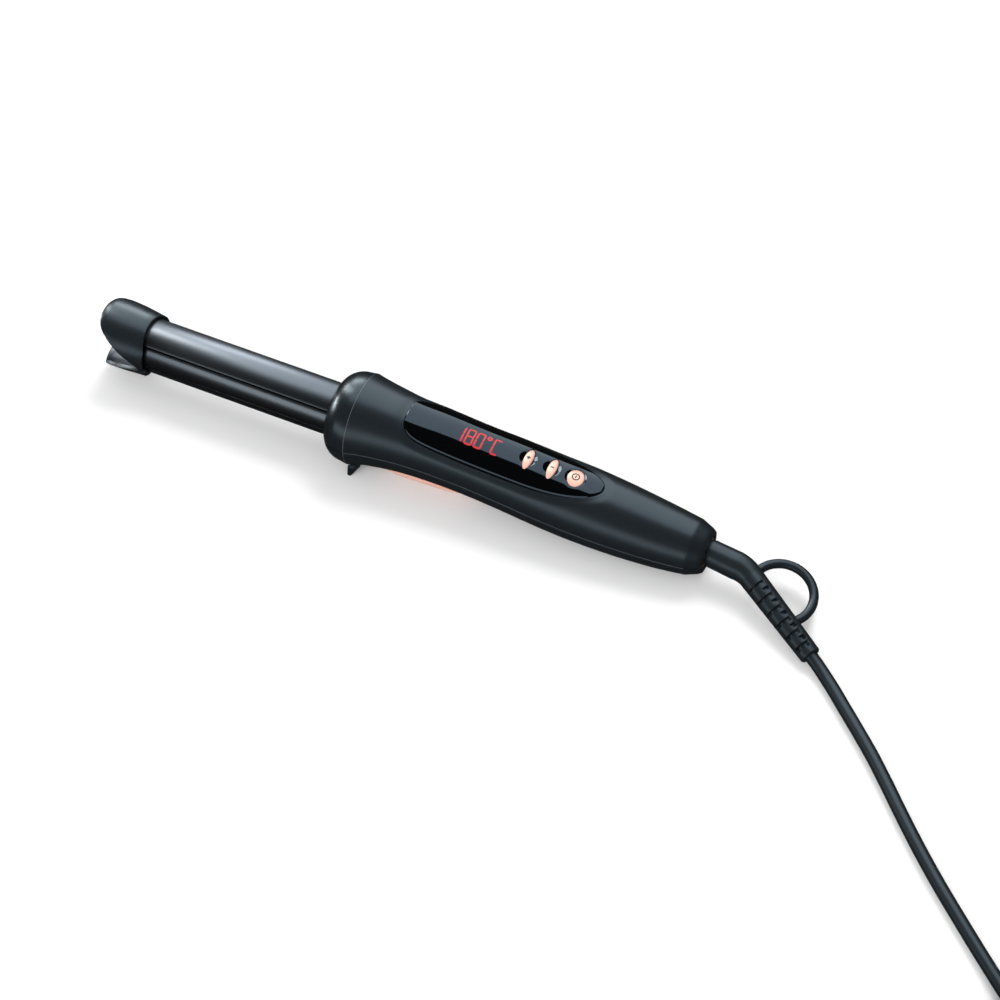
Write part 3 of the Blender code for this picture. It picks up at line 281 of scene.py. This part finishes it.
CAD_MATERIALS = {
    SOFT_BLACK: "handle_lower_shell",
    COLLAR_BLACK: "collar_upper collar_lower",
    CAP_BLACK: "tip_cap clamp_tip",
    GLOSS_BLACK: (
        "tact_switch_plus tact_switch_minus tact_switch_power display_module controller_chip heater_triac"
        " cord_tie"
    ),
    PLATE: "barrel_top_plate",
    BARREL: "barrel_tube clamp_plate",
    ROSE: "button_plus button_minus button_power lever",
    RUBBER: "plug_body",
    STEEL: "shell_screw_front shell_screw_rear hinge_pin clamp_spring clamp_arm",
    ALUMINIUM: "heater_block_upper heater_block_lower",
    BRASS: (
        "filter_capacitor contact_ring_line contact_ring_neutral contact_brush_line contact_brush_neutral"
        " plug_pin_left plug_pin_right"
    ),
    CERAMIC: "ptc_heater temperature_sensor",
    HOT_PLASTIC: "barrel_end_disc barrel_holder swivel_bush swivel_shaft brush_holder",
    BOARD: "circuit_board",
    RED_WIRE: "heater_lead_line sensor_lead supply_lead_line",
    BLUE_WIRE: "heater_lead_neutral supply_lead_neutral",
}
# width of the rounded edges of the CAD nodes that show
EDGE_WIDTH = {
    "handle_lower_shell": 0.00022,
    "collar_upper": 0.00022,
    "collar_lower": 0.00022,
    "tip_cap": 0.00035,
    "clamp_tip": 0.00035,
    "lever": 0.0003,
    "button_plus": 0.00012,
    "button_minus": 0.00012,
    "button_power": 0.00012,
    "barrel_top_plate": 0.0002,
    "clamp_plate": 0.0002,
    "barrel_tube": 0.0002,
}


WELD_DISTANCE = 0.00001
FLAT_ANGLE = math.radians(0.3)
BEVEL_ANGLE = math.radians(38)
SHARP_ANGLE = math.radians(32)


def dress_cad():
    """Gives every CAD node a real material, smooth shading and small rounded edges."""
    for finish, names in CAD_MATERIALS.items():
        for name in names.split():
            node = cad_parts[name]
            for k in range(len(node.material_slots)):
                node.material_slots[k].material = finish
            node.data.shade_smooth()
            weld = node.modifiers.new("weld", "WELD")
            weld.merge_threshold = WELD_DISTANCE
            if name in EDGE_WIDTH:
                flat = node.modifiers.new("flat", "DECIMATE")
                flat.decimate_type = "DISSOLVE"
                flat.angle_limit = FLAT_ANGLE
                edge = node.modifiers.new("edge", "BEVEL")
                edge.width = EDGE_WIDTH[name]
                edge.segments = 2
                edge.limit_method = "ANGLE"
                edge.angle_limit = BEVEL_ANGLE
                edge.use_clamp_overlap = True
                edge.harden_normals = False
            split = node.modifiers.new("split", "EDGE_SPLIT")
            split.split_angle = SHARP_ANGLE


dress_cad()


# ---------------------------------------------------------------- small helpers
def add_mesh(name, mesh, material, body, smooth_angle=32.0):
    """Makes an object from a bmesh, shaded smooth up to an angle in degrees, and lets it ride on a body."""
    bmesh.ops.recalc_face_normals(mesh, faces=mesh.faces)
    data = bpy.data.meshes.new(name)
    mesh.to_mesh(data)
    mesh.free()
    data.shade_smooth()
    data.set_sharp_from_angle(angle=math.radians(smooth_angle))
    data.materials.append(material)
    obj = bpy.data.objects.new(name, data)
    scene.collection.objects.link(obj)
    if body:
        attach(obj, body)
    return obj


def loft(rings):
    """A closed skin through rings of points, with a flat face at each end."""
    mesh = bmesh.new()
    layers = [[mesh.verts.new(point) for point in ring] for ring in rings]
    count = len(layers[0])
    for first, second in zip(layers, layers[1:]):
        for k in range(count):
            after = (k + 1) % count
            mesh.faces.new((first[k], first[after], second[after], second[k]))
    for end in (layers[0], layers[-1]):
        mesh.faces.new(end)
    return mesh


def grid_solid(top, bottom):
    """A closed slab between two grids of points of equal size."""
    mesh = bmesh.new()
    upper = [[mesh.verts.new(point) for point in row] for row in top]
    lower = [[mesh.verts.new(point) for point in row] for row in bottom]
    rows, columns = len(top), len(top[0])
    for layer in (upper, lower):
        for i in range(rows - 1):
            for j in range(columns - 1):
                mesh.faces.new((layer[i][j], layer[i + 1][j], layer[i + 1][j + 1], layer[i][j + 1]))
    for i in range(rows - 1):
        for j in (0, columns - 1):
            mesh.faces.new((upper[i][j], lower[i][j], lower[i + 1][j], upper[i + 1][j]))
    for j in range(columns - 1):
        for i in (0, rows - 1):
            mesh.faces.new((upper[i][j], upper[i][j + 1], lower[i][j + 1], lower[i][j]))
    return mesh


def append_mesh(mesh, extra):
    """Moves one bmesh into another."""
    data = bpy.data.meshes.new("extra")
    extra.to_mesh(data)
    extra.free()
    mesh.from_mesh(data)
    bpy.data.meshes.remove(data)


def smooth_path(points, spacing):
    """Evenly spaced points on a smooth curve through the given ones, and the curve's length."""
    points = [Vector(p) for p in points]
    padded = [2 * points[0] - points[1], *points, 2 * points[-1] - points[-2]]
    fine = []
    for before, a, b, after in zip(padded, padded[1:], padded[2:], padded[3:]):
        for step in range(16):
            t = step / 16
            fine.append(
                0.5
                * (
                    2 * a
                    + (b - before) * t
                    + (2 * before - 5 * a + 4 * b - after) * t**2
                    + (3 * a - before - 3 * b + after) * t**3
                )
            )
    fine.append(points[-1])
    lengths = [0.0]
    for a, b in zip(fine, fine[1:]):
        lengths.append(lengths[-1] + (b - a).length)
    count = max(int(lengths[-1] / spacing), 2)
    spaced = []
    index = 0
    for k in range(count + 1):
        wanted = lengths[-1] * k / count
        while index < len(fine) - 2 and lengths[index + 1] < wanted:
            index += 1
        share = (wanted - lengths[index]) / (lengths[index + 1] - lengths[index])
        spaced.append(fine[index].lerp(fine[index + 1], share))
    return spaced, lengths[-1]


def handle_at(x):
    """(radius, drop) of the handle's round section at x, smooth through HANDLE_SHAPE."""
    table = HANDLE_SHAPE
    last = len(table) - 2
    k = next((i for i in range(last + 1) if x <= table[i + 1][0]), last)
    a, b = table[k], table[k + 1]
    before = table[max(k - 1, 0)]
    after = b if b[0] >= CHAMFER_X else table[k + 2]
    t = min(max((x - a[0]) / (b[0] - a[0]), 0.0), 1.0)
    if x > CHAMFER_X:
        return [a[1] + (b[1] - a[1]) * t, a[2] + (b[2] - a[2]) * t]
    found = []
    for c in (1, 2):
        slope_a = (b[c] - before[c]) / (b[0] - before[0]) * (b[0] - a[0])
        slope_b = (after[c] - a[c]) / (after[0] - a[0]) * (b[0] - a[0])
        found.append(
            (2 * t**3 - 3 * t**2 + 1) * a[c]
            + (t**3 - 2 * t**2 + t) * slope_a
            + (3 * t**2 - 2 * t**3) * b[c]
            + (t**3 - t**2) * slope_b
        )
    return found


def handle_surface_z(x, y, offset=0.0):
    """Height of the handle's top surface over (x, y), offset outwards."""
    radius, drop = handle_at(x)
    return AXIS_Z - drop + math.sqrt(max((radius + offset) ** 2 - y * y, 0.0))


def window_half_width(x):
    if x < WINDOW_WIDEST_X:
        share = (WINDOW_WIDEST_X - x) / (WINDOW_WIDEST_X - WINDOW_FRONT_X)
        return WINDOW_HALF_WIDTH * max(1 - share**6, 0.0) ** (1 / 3.6)
    share = (x - WINDOW_WIDEST_X) / (WINDOW_REAR_X - WINDOW_WIDEST_X)
    return WINDOW_HALF_WIDTH * max(1 - share**3, 0.0) ** (1 / 2.1)


# ---------------------------------------------------------------- strain relief and hanging loop
SLEEVE_START = Vector((HANDLE_END_X + GAP, 0.0, AXIS_Z - HANDLE_SHAPE[-1][2]))
SLEEVE_RADIUS = 0.0066
SLEEVE_CHAMFER = 0.0003
BEND_RADIUS = 0.0068
BEND_REACH = 0.0045
TAIL_START_RADIUS = 0.0060
TAIL_END_RADIUS = 0.0050
TAIL_ROUNDING = 0.0005
RELIEF_LENGTH = (RELIEF_END - RELIEF_BEND).length
SLOT_ROWS = 6
FIRST_SLOT = 0.0106
SLOT_SPACING = 0.0072
SLOT_EDGE = 0.0003
# turns are in degrees from the tail's upper side, and each slot has a twin on the opposite side
LONG_SLOT_TURN = -45
LONG_SLOT_HALF_TURN = 58
LONG_SLOT_HALF_WIDTH = 0.00050
LONG_SLOT_WIDENING = 0.00070
LONG_SLOT_DEPTH = 0.0015
LONG_SLOT_DEEPENING = 0.0005
SHORT_SLOT_TURN = 4
SHORT_SLOT_HALF_TURN = 15
SHORT_SLOT_HALF_WIDTH = 0.00065
SHORT_SLOT_WIDENING = 0.00050
SHORT_SLOT_DEPTH = 0.0018
LOOP_ALONG = 0.0185
LOOP_ACROSS = 0.0075
LOOP_RADIUS = 0.0152
LOOP_WIRE_RADIUS = 0.00225
LOOP_START = -math.radians(23)
LOOP_SWEEP = math.radians(226)


def soft_step(value, edge):
    """1 well inside a limit, 0 well outside it, with a short slope between."""
    share = min(max(0.5 - value / edge, 0.0), 1.0)
    return share * share * (3 - 2 * share)


def turn_from(turn, centre):
    """Degrees from a direction round the tail, or from its opposite, whichever is nearer."""
    return abs((turn - centre + 90) % 180 - 90)


def slot_depth(distance, turn):
    """Depth of the tail's slots at a distance along it: rows of long ones, with short ones between."""
    depth = 0.0
    for k in range(SLOT_ROWS):
        row = FIRST_SLOT + SLOT_SPACING * k
        growth = k / (SLOT_ROWS - 1)
        half_width = LONG_SLOT_HALF_WIDTH + LONG_SLOT_WIDENING * growth
        inside = soft_step(abs(distance - row) - half_width, SLOT_EDGE)
        inside *= soft_step(turn_from(turn, LONG_SLOT_TURN) - LONG_SLOT_HALF_TURN, 6.0)
        depth = max(depth, (LONG_SLOT_DEPTH + LONG_SLOT_DEEPENING * growth) * inside)
        if k < SLOT_ROWS - 1:
            half_width = SHORT_SLOT_HALF_WIDTH + SHORT_SLOT_WIDENING * growth
            inside = soft_step(abs(distance - row - SLOT_SPACING / 2) - half_width, SLOT_EDGE)
            inside *= soft_step(turn_from(turn, SHORT_SLOT_TURN) - SHORT_SLOT_HALF_TURN, 4.0)
            depth = max(depth, SHORT_SLOT_DEPTH * inside)
    return depth


def relief_stations():
    """(centre, direction, radius, distance along the tail) of each section, with 0 before the tail."""
    sleeve_direction = (RELIEF_BEND - SLEEVE_START).normalized()
    before = RELIEF_BEND - sleeve_direction * BEND_REACH
    after = RELIEF_BEND + RELIEF_DIRECTION * BEND_REACH
    stations = [(SLEEVE_START, Vector((1, 0, 0)), SLEEVE_RADIUS - SLEEVE_CHAMFER, 0.0)]
    for k in range(1, 8):
        t = k / 8
        direction = Vector((1, 0, 0)).lerp(sleeve_direction, t).normalized()
        radius = SLEEVE_RADIUS + (BEND_RADIUS - SLEEVE_RADIUS) * t
        stations.append((SLEEVE_START.lerp(before, t), direction, radius, 0.0))
    for k in range(13):
        t = k / 13
        point = before * (1 - t) ** 2 + RELIEF_BEND * 2 * t * (1 - t) + after * t**2
        direction = sleeve_direction.lerp(RELIEF_DIRECTION, t).normalized()
        radius = BEND_RADIUS + (TAIL_START_RADIUS - BEND_RADIUS) * t
        stations.append((point, direction, radius, 0.0))
    count = 230
    for k in range(count + 1):
        share = k / count
        distance = BEND_REACH + (RELIEF_LENGTH - BEND_REACH) * share
        edge = max(distance - RELIEF_LENGTH + TAIL_ROUNDING, 0.0)
        radius = TAIL_START_RADIUS + (TAIL_END_RADIUS - TAIL_START_RADIUS) * share - edge * 0.9
        stations.append((RELIEF_BEND + RELIEF_DIRECTION * distance, RELIEF_DIRECTION, radius, distance))
    return stations


def relief_ring(point, direction, radius, distance, segments=120):
    across = Vector((-direction.y, direction.x, 0.0)).normalized()
    up = across.cross(direction)
    if up.z < 0:
        up.negate()
    ring = []
    for k in range(segments):
        turn = 360.0 * k / segments
        turn = turn - 360.0 if turn > 180 else turn
        depth = slot_depth(distance, turn) if distance else 0.0
        a = math.radians(turn)
        ring.append(point + (up * math.cos(a) + across * math.sin(a)) * (radius - depth))
    return ring


def loop_rings():
    across = Vector((-RELIEF_DIRECTION.y, RELIEF_DIRECTION.x, 0.0)).normalized()
    up = RELIEF_DIRECTION.cross(across)
    middle = RELIEF_BEND + RELIEF_DIRECTION * LOOP_ALONG + across * LOOP_ACROSS
    angles = [math.tau * j / 24 for j in range(24)]
    rings = []
    for k in range(81):
        a = LOOP_START + LOOP_SWEEP * k / 80
        out = across * math.sin(a) - RELIEF_DIRECTION * math.cos(a)
        spot = middle + out * LOOP_RADIUS
        rings.append([spot + (out * math.cos(b) + up * math.sin(b)) * LOOP_WIRE_RADIUS for b in angles])
    return rings


def make_strain_relief():
    rings = [relief_ring(*station) for station in relief_stations()]
    relief = add_mesh("relief", loft(rings), RUBBER, "cord_swivel", 50.0)
    loop = add_mesh("hanging_loop", loft(loop_rings()), RUBBER, "cord_swivel", 50.0)
    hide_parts("strain_relief")
    return relief, loop


relief_pieces = make_strain_relief()


# ---------------------------------------------------------------- cord
# share of a turn after which the cord eases over to the next one
CHANGE_START = 0.80
CORD_STEP = 0.0042


def coil_points():
    """The winding: clockwise turns, each at its own radius and height, with an easy change between them."""
    sweep = (len(COIL_TURNS) - 1) * math.tau + (COIL_START - COIL_END)
    points = []
    steps = int(sweep / math.radians(8))
    for k in range(1, steps):
        turned = sweep * k / steps
        turn = min(int(turned / math.tau), len(COIL_TURNS) - 1)
        share = turned / math.tau - turn
        radius, height = COIL_TURNS[turn]
        if turn + 1 < len(COIL_TURNS) and share > CHANGE_START:
            ease = (share - CHANGE_START) / (1 - CHANGE_START)
            ease = ease * ease * (3 - 2 * ease)
            radius += (COIL_TURNS[turn + 1][0] - radius) * ease
            height += (COIL_TURNS[turn + 1][1] - height) * ease
        a = COIL_START - turned
        points.append(COIL_CENTRE + Vector((radius * math.cos(a), radius * math.sin(a), height)))
    return points


def make_cord():
    start = RELIEF_END - RELIEF_DIRECTION * 0.0002
    run = [start, *map(Vector, CORD_RUN)]
    route = [*run, *coil_points(), *map(Vector, CORD_TAIL)]
    points, length = smooth_path(route, CORD_STEP)
    curve = bpy.data.curves.new("cord", "CURVE")
    curve.dimensions = "3D"
    curve.bevel_depth = CORD_RADIUS
    curve.bevel_resolution = 5
    curve.use_fill_caps = True
    spline = curve.splines.new("POLY")
    spline.points.add(len(points) - 1)
    for corner, point in zip(spline.points, points):
        corner.co = (*point, 1.0)
    spline.use_smooth = True
    curve.materials.append(RUBBER)
    cord = bpy.data.objects.new("cord", curve)
    scene.collection.objects.link(cord)
    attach(cord, "cord_swivel")
    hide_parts("cord_run", "cord_coil", "cord_tail")


make_cord()


# ---------------------------------------------------------------- handle's upper shell
VALLEY_REACH = 0.0050
VALLEY_DEPTH = 0.0011
SEAT_INSET = 0.0012
SHELL_WALL = 0.0024
END_WALL_X = 0.1560
END_HOLE_RADIUS = 0.0078
# how far the shell's last row draws back at the joint with the lower half
PARTING_STEP = 0.00018


def window_distance(x, arc_y):
    """Distance from the window's outline, measured on the handle's surface. Negative inside it."""
    best = 1.0
    for outline_x, outline_y in WINDOW_OUTLINE:
        best = min(best, math.hypot(x - outline_x, abs(arc_y) - outline_y))
    inside = WINDOW_FRONT_X < x < WINDOW_REAR_X and abs(arc_y) < arc_of(x, window_half_width(x))
    return -best if inside else best


def arc_of(x, y):
    """Distance round the handle from its top line to the point over y."""
    radius = handle_at(x)[0]
    return radius * math.asin(min(y / radius, 1.0))


def outline_points(count=160):
    """Points on one half of the window's outline, as (x, distance round the handle)."""
    middle, half = (WINDOW_FRONT_X + WINDOW_REAR_X) / 2, (WINDOW_REAR_X - WINDOW_FRONT_X) / 2
    found = []
    for k in range(count + 1):
        x = middle - half * math.cos(math.pi * k / count)
        found.append((x, arc_of(x, window_half_width(x))))
    for k in range(9):
        found.append((WINDOW_FRONT_X, found[0][1] * k / 8))
    return found


WINDOW_OUTLINE = outline_points()


def make_upper_shell():
    """The handle's upper half, with a soft valley round the display window and a seat under it."""
    stations = [HANDLE_FRONT_X + (CHAMFER_X - HANDLE_FRONT_X) * k / 190 for k in range(191)]
    stations = sorted(stations + [0.0017 + 0.0002 * k for k in range(42)])
    stations += [0.1530, 0.1545, 0.1560, 0.15685, 0.1578, 0.1586, HANDLE_END_X]
    around = 144
    outer, inner = [], []
    for x in stations:
        radius, drop = handle_at(x)
        lift = math.asin(GAP / 2 / radius)
        row_out, row_in = [], []
        for k in range(around + 1):
            a = lift + (math.pi - 2 * lift) * k / around
            arc_y = radius * (math.pi / 2 - a)
            depth = 0.0
            if WINDOW_FRONT_X - 0.006 < x < WINDOW_REAR_X + 0.006 and abs(arc_y) < 0.022:
                away = window_distance(x, arc_y)
                if away < -SEAT_INSET:
                    depth = WINDOW_THICKNESS + GAP
                elif away < 0:
                    depth = VALLEY_DEPTH * 0.55
                elif away < VALLEY_REACH:
                    share = 1 - away / VALLEY_REACH
                    depth = VALLEY_DEPTH * share * share * (1.6 - 1.2 * share)
            r = radius - depth - (PARTING_STEP if k in (0, around) else 0.0)
            row_out.append((x, r * math.cos(a), AXIS_Z - drop + r * math.sin(a)))
            r = radius - SHELL_WALL if x < END_WALL_X else END_HOLE_RADIUS
            row_in.append((x, r * math.cos(a), AXIS_Z - drop + r * math.sin(a)))
        outer.append(row_out)
        inner.append(row_in)
    shell = add_mesh("handle_upper", grid_solid(outer, inner), SOFT_BLACK, "handle", 14.0)
    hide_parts("handle_upper_shell")


make_upper_shell()


SEAM_DEPTH = 0.0008
SEAM_SINK = 0.00005


def seam_section(half_width):
    """Corners of a seam's section, as (distance out from the surface, place across the seam)."""
    low, high = -SEAM_DEPTH, -SEAM_SINK
    return ((low, -half_width), (high, -half_width), (high, half_width), (low, half_width))


def make_painted_seam_highlights():
    """Pale strips sunk in the joints between the handle's halves and the collar: a painted highlight
    standing in for the light caught on the edges of the gaps.
    """
    mesh = bmesh.new()
    for side in (1.0, -1.0):
        rings = []
        for k in range(121):
            x = HANDLE_FRONT_X + (CHAMFER_X - HANDLE_FRONT_X) * k / 120
            radius, drop = handle_at(x)
            section = seam_section(0.00013)
            rings.append([(x, side * (radius + out), AXIS_Z - drop + up) for out, up in section])
        append_mesh(mesh, loft(rings))
    radius, drop = handle_at(HANDLE_FRONT_X)
    rings = []
    for k in range(121):
        a = math.radians(-50 + 280 * k / 120)
        ring = []
        for out, along in seam_section(0.00013):
            reach = radius + out
            x = HANDLE_FRONT_X - GAP / 2 + along
            ring.append((x, reach * math.cos(a), AXIS_Z - drop + reach * math.sin(a)))
        rings.append(ring)
    append_mesh(mesh, loft(rings))
    highlight_strips = add_mesh("painted_seam_highlights", mesh, PAINTED_SEAM_HIGHLIGHT, "handle", 50.0)


make_painted_seam_highlights()


# ---------------------------------------------------------------- display window, digits and symbols
PANEL_CENTRE = Matrix.Translation((PANEL_X, 0.0, handle_surface_z(PANEL_X, 0.0)))
PANEL = PANEL_CENTRE @ Matrix.Rotation(PANEL_PITCH, 4, "Y")
PANEL_BACK = PANEL.inverted()
DIMPLE_DEPTH = 0.0014
DIMPLE_RADIUS = 0.0047
DIMPLE_MARGIN = 0.0017
WINDOW_ROUNDING_DEPTH = 0.0007
WINDOW_ROUNDING_REACH = 0.0011


def dimple_depth(x, y):
    """Depth of the round dishes that the buttons sit in."""
    depth = 0.0
    place = PANEL_BACK @ Vector((x, y, handle_surface_z(x, y)))
    for _, u, _, half_along in BUTTONS:
        reach = max(DIMPLE_RADIUS, half_along + DIMPLE_MARGIN)
        away = math.hypot(place.x - u, place.y) / reach
        if away < 1.0:
            depth = max(depth, DIMPLE_DEPTH * (1 - away * away) ** 1.1)
    return depth


def make_window():
    middle, half = (WINDOW_FRONT_X + WINDOW_REAR_X) / 2, (WINDOW_REAR_X - WINDOW_FRONT_X) / 2
    rows, columns = 210, 56
    shares = [-math.cos(math.pi * (0.006 + 0.988 * i / rows)) for i in range(rows + 1)]
    top, bottom = [], []
    for i, share in enumerate(shares):
        x = middle + half * share
        width = max(window_half_width(x), 0.0010)
        end_away = 1.3 * (x - WINDOW_FRONT_X if i <= rows - i else WINDOW_REAR_X - x)
        row_top, row_bottom = [], []
        for j in range(columns + 1):
            across = math.sin(math.pi / 2 * (2 * j / columns - 1))
            y = width * across
            edge_away = min(width - abs(y), end_away)
            rounding = WINDOW_ROUNDING_DEPTH * max(1 - edge_away / WINDOW_ROUNDING_REACH, 0.0) ** 2
            offset = WINDOW_RAISE - rounding - dimple_depth(x, y)
            row_top.append((x, y, handle_surface_z(x, y, offset)))
            row_bottom.append((x, y, handle_surface_z(x, y, -WINDOW_THICKNESS)))
        top.append(row_top)
        bottom.append(row_bottom)
    window = add_mesh("window", grid_solid(top, bottom), GLOSS_BLACK, None, 50.0)
    for name, u, half_across, half_along in BUTTONS:
        rings = []
        for w in (-0.01, 0.01):
            ring = []
            for k in range(48):
                a = math.tau * k / 48
                spot = Vector((u + (half_along + GAP) * math.cos(a), (half_across + GAP) * math.sin(a), w))
                ring.append(PANEL @ spot)
            rings.append(ring)
        cutter = add_mesh(f"{name}_hole", loft(rings), GLOSS_BLACK, None)
        hole = window.modifiers.new(f"{name}_hole", "BOOLEAN")
        hole.operation = "DIFFERENCE"
        hole.solver = "EXACT"
        hole.object = cutter
    bpy.context.view_layer.update()
    cut = bpy.data.meshes.new_from_object(window.evaluated_get(bpy.context.evaluated_depsgraph_get()))
    window.modifiers.clear()
    window.data = cut
    for name, *_ in BUTTONS:
        bpy.data.objects.remove(bpy.data.objects[f"{name}_hole"], do_unlink=True)
    window.data.shade_smooth()
    window.data.set_sharp_from_angle(angle=math.radians(50))
    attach(window, "handle")
    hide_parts("display_window")


make_window()

SEGMENT_CORNERS = {
    # each stroke of a seven-segment digit, from corner to corner of a 1 x 2 cell
    "a": ((0, 2), (1, 2)),
    "b": ((1, 2), (1, 1)),
    "c": ((1, 1), (1, 0)),
    "d": ((0, 0), (1, 0)),
    "e": ((0, 1), (0, 0)),
    "f": ((0, 2), (0, 1)),
    "g": ((0, 1), (1, 1)),
}
GLYPHS = (
    # strokes, left side, low side, cell width, cell height
    ("bc", 0.0318, -0.0052, 0.0030, 0.0040),
    ("abcdefg", 0.0366, -0.0052, 0.0033, 0.0040),
    ("abcdef", 0.0414, -0.0052, 0.0033, 0.0040),
    ("abfg", 0.0464, -0.0007, 0.0015, 0.0017),
    ("adef", 0.0500, -0.0052, 0.0030, 0.0040),
)


def make_digits():
    """The lit reading: flat strokes with pointed ends, laid on the window's curved surface."""
    mesh = bmesh.new()
    half = 0.00044
    overrun = 0.00020
    for strokes, left, low, width, height in GLYPHS:
        for stroke in strokes:
            (ax, ay), (bx, by) = SEGMENT_CORNERS[stroke]
            a = Vector((left + ax * width, low + ay * height))
            b = Vector((left + bx * width, low + by * height))
            along = (b - a).normalized()
            side = Vector((-along.y, along.x)) * half
            a, b = a - along * overrun, b + along * overrun
            steps = 6
            rows = []
            for k in range(steps + 1):
                share = k / steps
                spot = a.lerp(b, share)
                taper = min(1.0, 2.6 * min(share, 1 - share) * (b - a).length / (2 * half) + 0.15)
                rows.append([spot - side * taper, spot, spot + side * taper])
            top, bottom = [], []
            for row in rows:
                top.append([(q.x, q.y, handle_surface_z(q.x, q.y, WINDOW_RAISE + 0.00005)) for q in row])
                bottom.append([(q.x, q.y, handle_surface_z(q.x, q.y, WINDOW_RAISE - 0.00010)) for q in row])
            append_mesh(mesh, grid_solid(top, bottom))
    digits = add_mesh("display_digits", mesh, RED_LIGHT, "handle")


make_digits()


SYMBOL_TOP = 0.00096
SYMBOL_BOTTOM = 0.00060


def crown_z(y, w):
    """Height over the panel, at y, of a domed face that is w high along its middle."""
    radius = handle_at(PANEL_X)[0]
    return w - (radius - math.sqrt(radius**2 - y**2))


def symbol_bar(mesh, low_u, high_u, low_v, high_v):
    across = (low_v, (low_v + high_v) / 2, high_v)
    top, bottom = [], []
    for i in range(5):
        u = low_u + (high_u - low_u) * i / 4
        top.append([PANEL @ Vector((u, v, crown_z(v, SYMBOL_TOP))) for v in across])
        bottom.append([PANEL @ Vector((u, v, crown_z(v, SYMBOL_BOTTOM))) for v in across])
    append_mesh(mesh, grid_solid(top, bottom))


def symbol_ring(mesh, u, inner, outer, steps=40):
    top = SYMBOL_TOP - 0.00001
    rings = []
    for k in range(steps + 1):
        a = math.radians(359) * k / steps
        ring = []
        for radius, w in ((inner, SYMBOL_BOTTOM), (inner, top), (outer, top), (outer, SYMBOL_BOTTOM)):
            v = radius * math.sin(a)
            ring.append(PANEL @ Vector((u + radius * math.cos(a), v, crown_z(v, w))))
        rings.append(ring)
    append_mesh(mesh, loft(rings))


def make_symbols():
    bar = 0.00030
    for name, u, _, _ in BUTTONS:
        mesh = bmesh.new()
        if name == "power":
            symbol_ring(mesh, u, 0.00140, 0.00195)
            symbol_bar(mesh, u - bar, u + bar, -0.0008, 0.0008)
        elif name == "minus":
            symbol_bar(mesh, u - 0.0008, u + 0.0008, -bar, bar)
        else:
            symbol_bar(mesh, u - 0.0010, u + 0.0010, -bar, bar)
            symbol_bar(mesh, u - bar, u + bar, -0.0010, 0.0010)
        mark = add_mesh(f"symbol_{name}", mesh, SYMBOL, f"button_{name}")


make_symbols()


# ---------------------------------------------------------------- floor, sky and lights
FLOOR_Z = -0.00005


def make_floor():
    mesh = bmesh.new()
    size = 6.0
    outline = ((-size, -size), (size, -size), (size, size), (-size, size))
    mesh.faces.new([mesh.verts.new((x, y, FLOOR_Z)) for x, y in outline])
    made, tree, shader = new_material("pale_floor")
    shader.inputs["Roughness"].default_value = 0.9
    shader.inputs["Specular IOR Level"].default_value = 0.1
    texture = noise(tree, 3.0)
    mix = tree.nodes.new("ShaderNodeMix")
    mix.data_type = "RGBA"
    mix.inputs["A"].default_value = (0.93, 0.93, 0.93, 1.0)
    mix.inputs["B"].default_value = (0.95, 0.95, 0.95, 1.0)
    tree.links.new(texture.outputs["Fac"], mix.inputs["Factor"])
    tree.links.new(mix.outputs["Result"], shader.inputs["Base Color"])
    floor = add_mesh("floor", mesh, made, None)
    floor.visible_glossy = False


def make_sky():
    """An even white sky, nearly black in reflections so that the dark plastic keeps its dark edges."""
    world = bpy.data.worlds.new("sky")
    scene.world = world
    world.use_nodes = True
    tree = world.node_tree
    background = tree.nodes["Background"]
    background.inputs["Color"].default_value = (1.0, 1.0, 1.0, 1.0)
    path = tree.nodes.new("ShaderNodeLightPath")
    strength = tree.nodes.new("ShaderNodeMapRange")
    strength.inputs["To Min"].default_value = 0.72
    strength.inputs["To Max"].default_value = 0.03
    tree.links.new(path.outputs["Is Glossy Ray"], strength.inputs["Value"])
    tree.links.new(strength.outputs["Result"], background.inputs["Strength"])


def area_light(name, place, target, width, height, radiance, colour=(1.0, 1.0, 1.0), glossy=True):
    """A rectangular light of a given surface brightness, aimed at a point.

    It shows in reflections only, or, with glossy=False, lights matt surfaces only.
    """
    data = bpy.data.lights.new(name, "AREA")
    data.shape = "RECTANGLE"
    data.size = width
    data.size_y = height
    data.energy = radiance * math.pi * width * height
    data.color = colour
    lamp = bpy.data.objects.new(name, data)
    scene.collection.objects.link(lamp)
    lamp.location = place
    lamp.rotation_euler = (Vector(target) - Vector(place)).to_track_quat("-Z", "Y").to_euler()
    lamp.visible_camera = False
    lamp.visible_glossy = glossy
    lamp.visible_diffuse = not glossy


def make_lights():
    centre = Vector((0.0, 0.0, 0.02))

    def over(angle, distance, x=0.0):
        """A place at an angle from straight up, towards the near side."""
        a = math.radians(angle)
        return centre + Vector((x, -distance * math.sin(a), distance * math.cos(a)))

    area_light("overhead", over(-36.5, 1.5, -0.18), centre, 1.64, 2.2, 2.6, (0.86, 0.94, 1.0))
    area_light("near_strip", over(81, 1.3, -0.2), centre, 2.0, 0.50, 2.0, (0.90, 0.96, 1.0))
    barrel = Vector((-0.10, 0.0, 0.024))
    area_light("barrel_card", over(-61, 0.45, -0.262), barrel, 0.215, 0.16, 6.0, (0.93, 0.97, 1.0))
    area_light("tip_side", (-1.6, 0.1, 0.28), centre, 0.5, 0.30, 26.0)
    area_light("glint", (-1.34, 0.86, 1.02), centre, 0.46, 1.3, 11.0)
    area_light("shadow_caster", (0.20, 1.00, 1.55), centre, 1.0, 1.0, 6.2, glossy=False)
    area_light("front_fill", (0.0, -1.3, 1.1), centre, 1.4, 1.4, 2.6, glossy=False)


make_floor()
make_sky()
make_lights()
